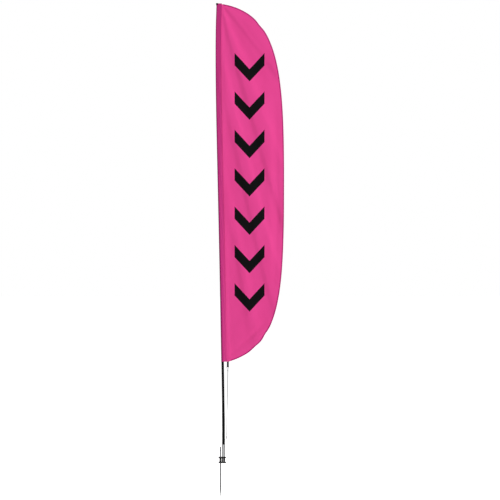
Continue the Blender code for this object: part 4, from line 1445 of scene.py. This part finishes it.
def pole_tube():
    heights = [pole_low, pole_low + RIM, pole_high - RIM, pole_high]
    heights += [pole_low + (pole_high - pole_low) * i / POLE_ROWS for i in range(1, POLE_ROWS)]
    heights = sorted(set(heights))
    corners = []
    for inner in (False, True):
        for z in heights:
            _, x, radius = smooth_row(pole_rings, z)
            rim = RIM if z in (pole_low, pole_high) else 0.0
            radius = radius - POLE_WALL + rim / 2 if inner else radius - rim
            for i in range(POLE_STEPS):
                angle = math.tau * i / POLE_STEPS
                corners.append((x + radius * math.cos(angle), radius * math.sin(angle), z))
    rows = len(heights)
    walls = ring_faces(rows, POLE_STEPS)
    faces = walls + [tuple(i + rows * POLE_STEPS for i in face)[::-1] for face in walls]
    for i, turn in ((0, -1), (rows - 1, 1)):
        for j in range(POLE_STEPS):
            k = (j + 1) % POLE_STEPS
            outer, inner = i * POLE_STEPS, (rows + i) * POLE_STEPS
            faces.append((outer + j, outer + k, inner + k, inner + j)[::turn])
    return mesh_from("pole_foot", corners, faces)


def cut_with(piece, name, data):
    """Cuts a closed shape from a piece, bakes the cut into its mesh and removes the cutter."""
    cutter = bpy.data.objects.new(name, mesh_from(name, *data))
    bpy.context.scene.collection.objects.link(cutter)
    boolean = piece.modifiers.new(name, "BOOLEAN")
    boolean.operation = "DIFFERENCE"
    boolean.solver = "EXACT"
    boolean.object = cutter
    graph = bpy.context.evaluated_depsgraph_get()
    mesh = bpy.data.meshes.new_from_object(piece.evaluated_get(graph))
    piece.modifiers.remove(boolean)
    piece.data = mesh
    bpy.data.objects.remove(cutter, do_unlink=True)
    shade_round(mesh)


pole_foot = add_piece(
    "pole_foot", pole_tube(), finishes["pole_black"], "mast", ["pole_section_1"]
)
foot_radius = pole_rings[0][2]
notch_half = pin_radius + 2 * GAP
notch = [(y, pin_height + z) for y, z in arc_points((0, 0), notch_half, 0, math.pi, 16)]
notch += [(-notch_half, pole_low - 0.004), (notch_half, pole_low - 0.004)]
notch_corners = [(x, y, z) for x in (0.003, 2 * foot_radius) for y, z in notch]
cut_with(pole_foot, "notch_cutter", (notch_corners, prism_faces(len(notch))))
eye_hole = [(foot_radius - 0.003, 0, eye_centre[1]), (2 * foot_radius, 0, eye_centre[1])]
cut_with(pole_foot, "eye_cutter", sweep_data(eye_hole, round_section(eye_wire + GAP)))

pin_path = [(x, 0, pin_height) for x in (pin_low.x, pin_high.x - PIN_CHAMFER, pin_high.x)]


def pin_section(i):
    return round_section(pin_radius - (PIN_CHAMFER if i == 2 else 0.0), 32)(i)


pin_mesh = mesh_from("round_pin", *sweep_data(pin_path, pin_section))
add_piece("round_pin", pin_mesh, finishes["shaft_steel"], "rotor", ["drive_pin"])
print("pole foot", len(pole_foot.data.polygons), "faces")

# %% [markdown]
# ## Spindle
# The rotor spindle is turned from bar, so it is lathed from a profile with the chamfers and the O-ring
# grooves of the real part. Its chrome shows every facet, so it gets 96 steps. The spigot stands inside the
# pole and shows when the mast is lifted off.

# %% Rotor spindle
O_RING_PROUD = 0.0004
CHAMFER = 0.0006
SHAFT_BORE = 0.0053

rotor_low, rotor_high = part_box("rotor_spindle")
rotor_radius = (rotor_high.x - rotor_low.x) / 2
upper_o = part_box("upper_o_ring")
lower_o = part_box("lower_o_ring")
shoulder = pole_low - GAP
o_outer = (upper_o[1].x - upper_o[0].x) / 2
o_thick = upper_o[1].z - upper_o[0].z
spigot_radius = o_outer - O_RING_PROUD
groove_floor = o_outer - o_thick - GAP


def groove(o_box):
    low, high = o_box[0].z - GAP, o_box[1].z + GAP
    return [(spigot_radius, high), (groove_floor, high), (groove_floor, low), (spigot_radius, low)]


bore_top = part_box("spindle_shaft")[1].z + GAP
rotor_profile = [
    (0, rotor_high.z),
    (spigot_radius - 0.002, rotor_high.z),
    (spigot_radius - 0.0004, rotor_high.z - 0.0012),
    (spigot_radius, rotor_high.z - 0.0024),
    *groove(upper_o),
    *groove(lower_o),
    (spigot_radius, shoulder + 0.0004),
    (spigot_radius + 0.0004, shoulder),
    (rotor_radius - GAP, shoulder),
    (rotor_radius, shoulder - GAP),
    (rotor_radius, rotor_low.z + CHAMFER),
    (rotor_radius - CHAMFER, rotor_low.z),
    (SHAFT_BORE, rotor_low.z),
    (SHAFT_BORE, bore_top),
    (0, bore_top),
]
rotor_mesh = mesh_from("chrome_spindle", *lathe_data(rotor_profile, steps=96, closed=False))
spindle = add_piece("chrome_spindle", rotor_mesh, finishes["chrome"], "rotor", ["rotor_spindle"])
pin_hole = [(pin_low.x - GAP, 0, pin_height), (2 * foot_radius, 0, pin_height)]
cut_with(spindle, "pin_hole_cutter", sweep_data(pin_hole, round_section(pin_radius + GAP, 32)))


def o_ring_piece(name, o_box):
    radius = (o_box[1].z - o_box[0].z) / 2
    middle = ((o_box[1].x - o_box[0].x) / 2 - radius, (o_box[0].z + o_box[1].z) / 2)
    section = arc_points(middle, radius, math.pi / 2, -1.5 * math.pi, 16)[:-1]
    mesh = mesh_from(name, *lathe_data(section))
    return add_piece(name, mesh, finishes["rubber"], "rotor", [name.replace("round_", "")])


o_ring_piece("round_upper_o_ring", upper_o)
o_ring_piece("round_lower_o_ring", lower_o)
print("spindle", len(spindle.data.polygons), "faces")

# %% [markdown]
# ## Spike, collar and hub
# The spike is a plated rod with a ground point, dulled by use. The collar and the hub are tubes welded
# between the plates. A weld is a rippled bead in the corner, so each joint gets a ring whose radius
# wobbles a little with every drop of filler.

# %% Spike and tubes
POINT_LENGTH = 0.055
TUBE_EDGE = 0.0004  # chamfer
WELD_STEPS = 90
WELD_SIZE = 0.0024
WELD_RIPPLE = 0.09
WELD_UNEVEN = 0.08

spike_low, spike_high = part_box("ground_spike")
spike_radius = (spike_high.x - spike_low.x) / 2
spike_x = (spike_low.x + spike_high.x) / 2
point_height = spike_low.z + POINT_LENGTH
spike_profile = [
    (0, spike_high.z),
    (spike_radius - 0.0013, spike_high.z),
    (spike_radius - 0.0004, spike_high.z - 0.0005),
    (spike_radius, spike_high.z - 0.0016),
    (spike_radius, point_height + 0.002),
    (spike_radius - 0.0002, point_height - 0.002),
    (0.0012, spike_low.z + 0.004),
    (0.0005, spike_low.z + 0.0008),
    (0, spike_low.z),
]
spike_mesh = mesh_from("pointed_spike", *lathe_data(spike_profile, centre=(spike_x, 0), closed=False))
spike_finish = finishes["spike_steel"]
add_piece("pointed_spike", spike_mesh, spike_finish, "ground_stake", ["ground_spike"])


def tube_piece(name, node, inner, slot, centre):
    low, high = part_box(node)
    outer = (high.x - low.x) / 2
    profile = [
        (outer - TUBE_EDGE, high.z),
        (outer, high.z - TUBE_EDGE),
        (outer, low.z + TUBE_EDGE),
        (outer - TUBE_EDGE, low.z),
        (inner, low.z),
        (inner, high.z),
    ]
    mesh = mesh_from(name, *lathe_data(profile, centre=(centre, 0)))
    return add_piece(name, mesh, finishes[slot], "ground_stake", [node])


tube_piece("round_collar", "spike_collar", spike_radius + GAP, "bracket_black", spike_x)
hub_low, hub_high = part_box("spindle_hub")
hub_radius = (hub_high.x - hub_low.x) / 2
collar_radius = (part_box("spike_collar")[1].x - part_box("spike_collar")[0].x) / 2


def weld_bead(name, centre, radius, height, upwards):
    """A rippled fillet between a tube and a plate."""
    sign = 1 if upwards else -1
    corners = []
    for i in range(WELD_STEPS):
        angle = math.tau * i / WELD_STEPS
        uneven = noise.noise(Vector((i * 0.4, radius * 90, height * 50)))
        drop = WELD_SIZE * (1 + WELD_RIPPLE * math.sin(i * math.tau / 5) + WELD_UNEVEN * uneven)
        for out, up in ((0, 0), (drop, 0), (0.62 * drop, 0.5 * drop), (0, drop)):
            reach = radius - 0.0002 + out
            x, y = centre + reach * math.cos(angle), reach * math.sin(angle)
            corners.append((x, y, height + sign * up))
    mesh = mesh_from(name, corners, ring_faces(WELD_STEPS, 4, joined=True))
    return add_piece(name, mesh, finishes["bracket_black"], "ground_stake")


plate_low_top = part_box("bracket_bottom_plate")[1].z
plate_high_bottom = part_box("bracket_top_plate")[0].z
for name, centre, radius in (("hub", 0.0, hub_radius), ("collar", spike_x, collar_radius)):
    weld_bead(f"{name}_lower_weld", centre, radius, plate_low_top, True)
    weld_bead(f"{name}_upper_weld", centre, radius, plate_high_bottom, False)
weld_bead("spike_top_weld", spike_x, spike_radius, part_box("bracket_top_plate")[1].z, True)
print("spike and welds made")

# %% [markdown]
# ## Bracket plates
# The plates are cut from 8 mm steel with rounded ends, and the powder coat rounds every edge. Each is an
# outline that links two circles, extruded, with its holes cut through and a Bevel on what is left.

# %% Plates
PLATE_EDGE = 0.0011
SHAFT_HOLE_RADIUS = 0.0075
HUB_WALL = 0.0022


def linked_outline(left, left_radius, right, right_radius, steps=40):
    turn = math.acos((left_radius - right_radius) / (right - left))
    outline = arc_points((right, 0), right_radius, -turn, turn, steps)
    return outline + arc_points((left, 0), left_radius, turn, math.tau - turn, steps)


def plate_piece(name, node, holes):
    low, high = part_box(node)
    spike_end = spike_x - low.x
    outline = linked_outline(spike_x, spike_end, 0.0, high.x)
    corners = [(x, y, z) for z in (low.z, high.z) for x, y in outline]
    mesh = mesh_from(name, corners, prism_faces(len(outline)))
    piece = add_piece(name, mesh, finishes["bracket_black"], "ground_stake", [node])
    for i, (x, radius) in enumerate(holes):
        path = [(x, 0, low.z - 0.01), (x, 0, high.z + 0.01)]
        cut_with(piece, f"{name}_drill_{i}", sweep_data(path, round_section(radius, 48)))
    edge = piece.modifiers.new("rounded edges", "BEVEL")
    edge.width = PLATE_EDGE
    edge.segments = 3
    edge.limit_method = "ANGLE"
    edge.angle_limit = math.radians(50)
    return piece


spike_hole = (spike_x, spike_radius + GAP)
shaft_hole = (0.0, SHAFT_HOLE_RADIUS)
plate_piece("lower_plate", "bracket_bottom_plate", [spike_hole])
plate_piece("upper_plate", "bracket_top_plate", [spike_hole, shaft_hole])

tube_piece("round_hub", "spindle_hub", hub_radius - HUB_WALL, "hub_steel", 0.0)
print("bracket made")

# %% [markdown]
# ## Floor and light
# The stage is a plain white floor at the spike's tip under an even white sky. The sky is brighter in front
# and behind than at the sides, as between two white screens, so that round things darken towards their
# edges and the chrome reads as chrome.

# %% Stage
SKY_FRONT = 1.35
SKY_BACK = 0.55
SKY_ABOVE = 0.28
STRIP_FRONT = 1.6
STRIP_BACK = 0.25
STRIP_DARK = 0.012
STRIP_SHARPNESS = 6.5
FLOOR_GLOW = 0.05
FLOOR_GLOW_SEEN = 0.8
SKY_SHARPNESS = 5.0
LAMP_TARGET = Vector((0.1, 0, 1.9))


def toward(tree, vector, sharpness):
    """How squarely a direction points at the front, at the back and up, as three values."""
    unit = tree.nodes.new("ShaderNodeVectorMath")
    unit.operation = "NORMALIZE"
    link(tree, vector, unit.inputs[0])
    split = tree.nodes.new("ShaderNodeSeparateXYZ")
    link(tree, unit.outputs[0], split.inputs[0])
    ahead = math_node(tree, "MAXIMUM", math_node(tree, "MULTIPLY", split.outputs["Y"], -1.0), 0.0)
    behind = math_node(tree, "MAXIMUM", split.outputs["Y"], 0.0)
    above = math_node(tree, "MAXIMUM", split.outputs["Z"], 0.0)
    ahead, behind = (math_node(tree, "POWER", value, sharpness) for value in (ahead, behind))
    return ahead, behind, above


def strip_light(tree, vector):
    """What glossy surfaces see: an upright bright strip in front, a weaker one behind, and dark between."""
    ahead, behind, _ = toward(tree, vector, STRIP_SHARPNESS)
    front = math_node(tree, "MULTIPLY", ahead, STRIP_FRONT)
    back = math_node(tree, "MULTIPLY", behind, STRIP_BACK)
    return math_node(tree, "ADD", math_node(tree, "ADD", front, back), STRIP_DARK)


def choose(tree, mask, otherwise, value):
    """One of two values, by a mask. Each can be a number or an output."""
    mix = tree.nodes.new("ShaderNodeMix")
    link(tree, mask, mix.inputs[0])
    for socket, choice in ((mix.inputs[2], otherwise), (mix.inputs[3], value)):
        if isinstance(choice, (int, float)):
            socket.default_value = choice
        else:
            link(tree, choice, socket)
    return mix.outputs[0]


def build_floor():
    """A white sheet. It shows plain white to the camera, and continues the strips in reflections."""
    material, tree, shader = new_material("stage_floor", Roughness=0.9)
    shader.inputs["Specular IOR Level"].default_value = 0.0
    shader.inputs["Emission Color"].default_value = (1, 1, 1, 1)
    ray = tree.nodes.new("ShaderNodeLightPath")
    place = tree.nodes.new("ShaderNodeTexCoord")
    strip = strip_light(tree, place.outputs["Object"])
    glow = choose(tree, ray.outputs["Is Glossy Ray"], FLOOR_GLOW, strip)
    glow = choose(tree, ray.outputs["Is Camera Ray"], glow, FLOOR_GLOW_SEEN)
    link(tree, glow, shader.inputs["Emission Strength"])
    white = colour_between(tree, ray.outputs["Is Glossy Ray"], (0.9, 0.9, 0.9), (0.02, 0.02, 0.02))
    link(tree, white, shader.inputs["Base Color"])
    bpy.ops.mesh.primitive_plane_add(size=120, location=(0, 0, box_low.z - 0.0005))
    floor = bpy.context.object
    floor.name = "stage_floor"
    floor.data.materials.append(material)


def build_sky():
    """A broad white screen in front, dimmer light behind and overhead, and dark sides."""
    world = bpy.data.worlds.new("studio")
    world.use_nodes = True
    bpy.context.scene.world = world
    tree = world.node_tree
    background = tree.nodes["Background"]
    place = tree.nodes.new("ShaderNodeTexCoord")
    ahead, behind, above = toward(tree, place.outputs["Generated"], SKY_SHARPNESS)
    soft = math_node(tree, "MULTIPLY", ahead, SKY_FRONT)
    soft = math_node(tree, "ADD", soft, math_node(tree, "MULTIPLY", behind, SKY_BACK))
    soft = math_node(tree, "ADD", soft, math_node(tree, "MULTIPLY", above, SKY_ABOVE))
    ray = tree.nodes.new("ShaderNodeLightPath")
    strip = strip_light(tree, place.outputs["Generated"])
    level = choose(tree, ray.outputs["Is Glossy Ray"], soft, strip)
    level = choose(tree, ray.outputs["Is Camera Ray"], level, 1.0)
    link(tree, level, background.inputs["Strength"])
    background.inputs["Color"].default_value = (1, 1, 1, 1)


def add_lamp(name, location, size, power):
    data = bpy.data.lights.new(name, "AREA")
    data.shape = "RECTANGLE"
    data.size, data.size_y = size
    data.energy = power
    lamp = bpy.data.objects.new(name, data)
    lamp.location = location
    lamp.rotation_euler = (LAMP_TARGET - Vector(location)).to_track_quat("-Z", "Y").to_euler()
    bpy.context.scene.collection.objects.link(lamp)


build_floor()
build_sky()
add_lamp("key", (5.6, -5.6, 4.6), (2.2, 3.4), 400)
add_lamp("back", (-3.5, 6.0, 4.0), (2.5, 3.0), 260)
bpy.context.scene.view_settings.view_transform = "Standard"
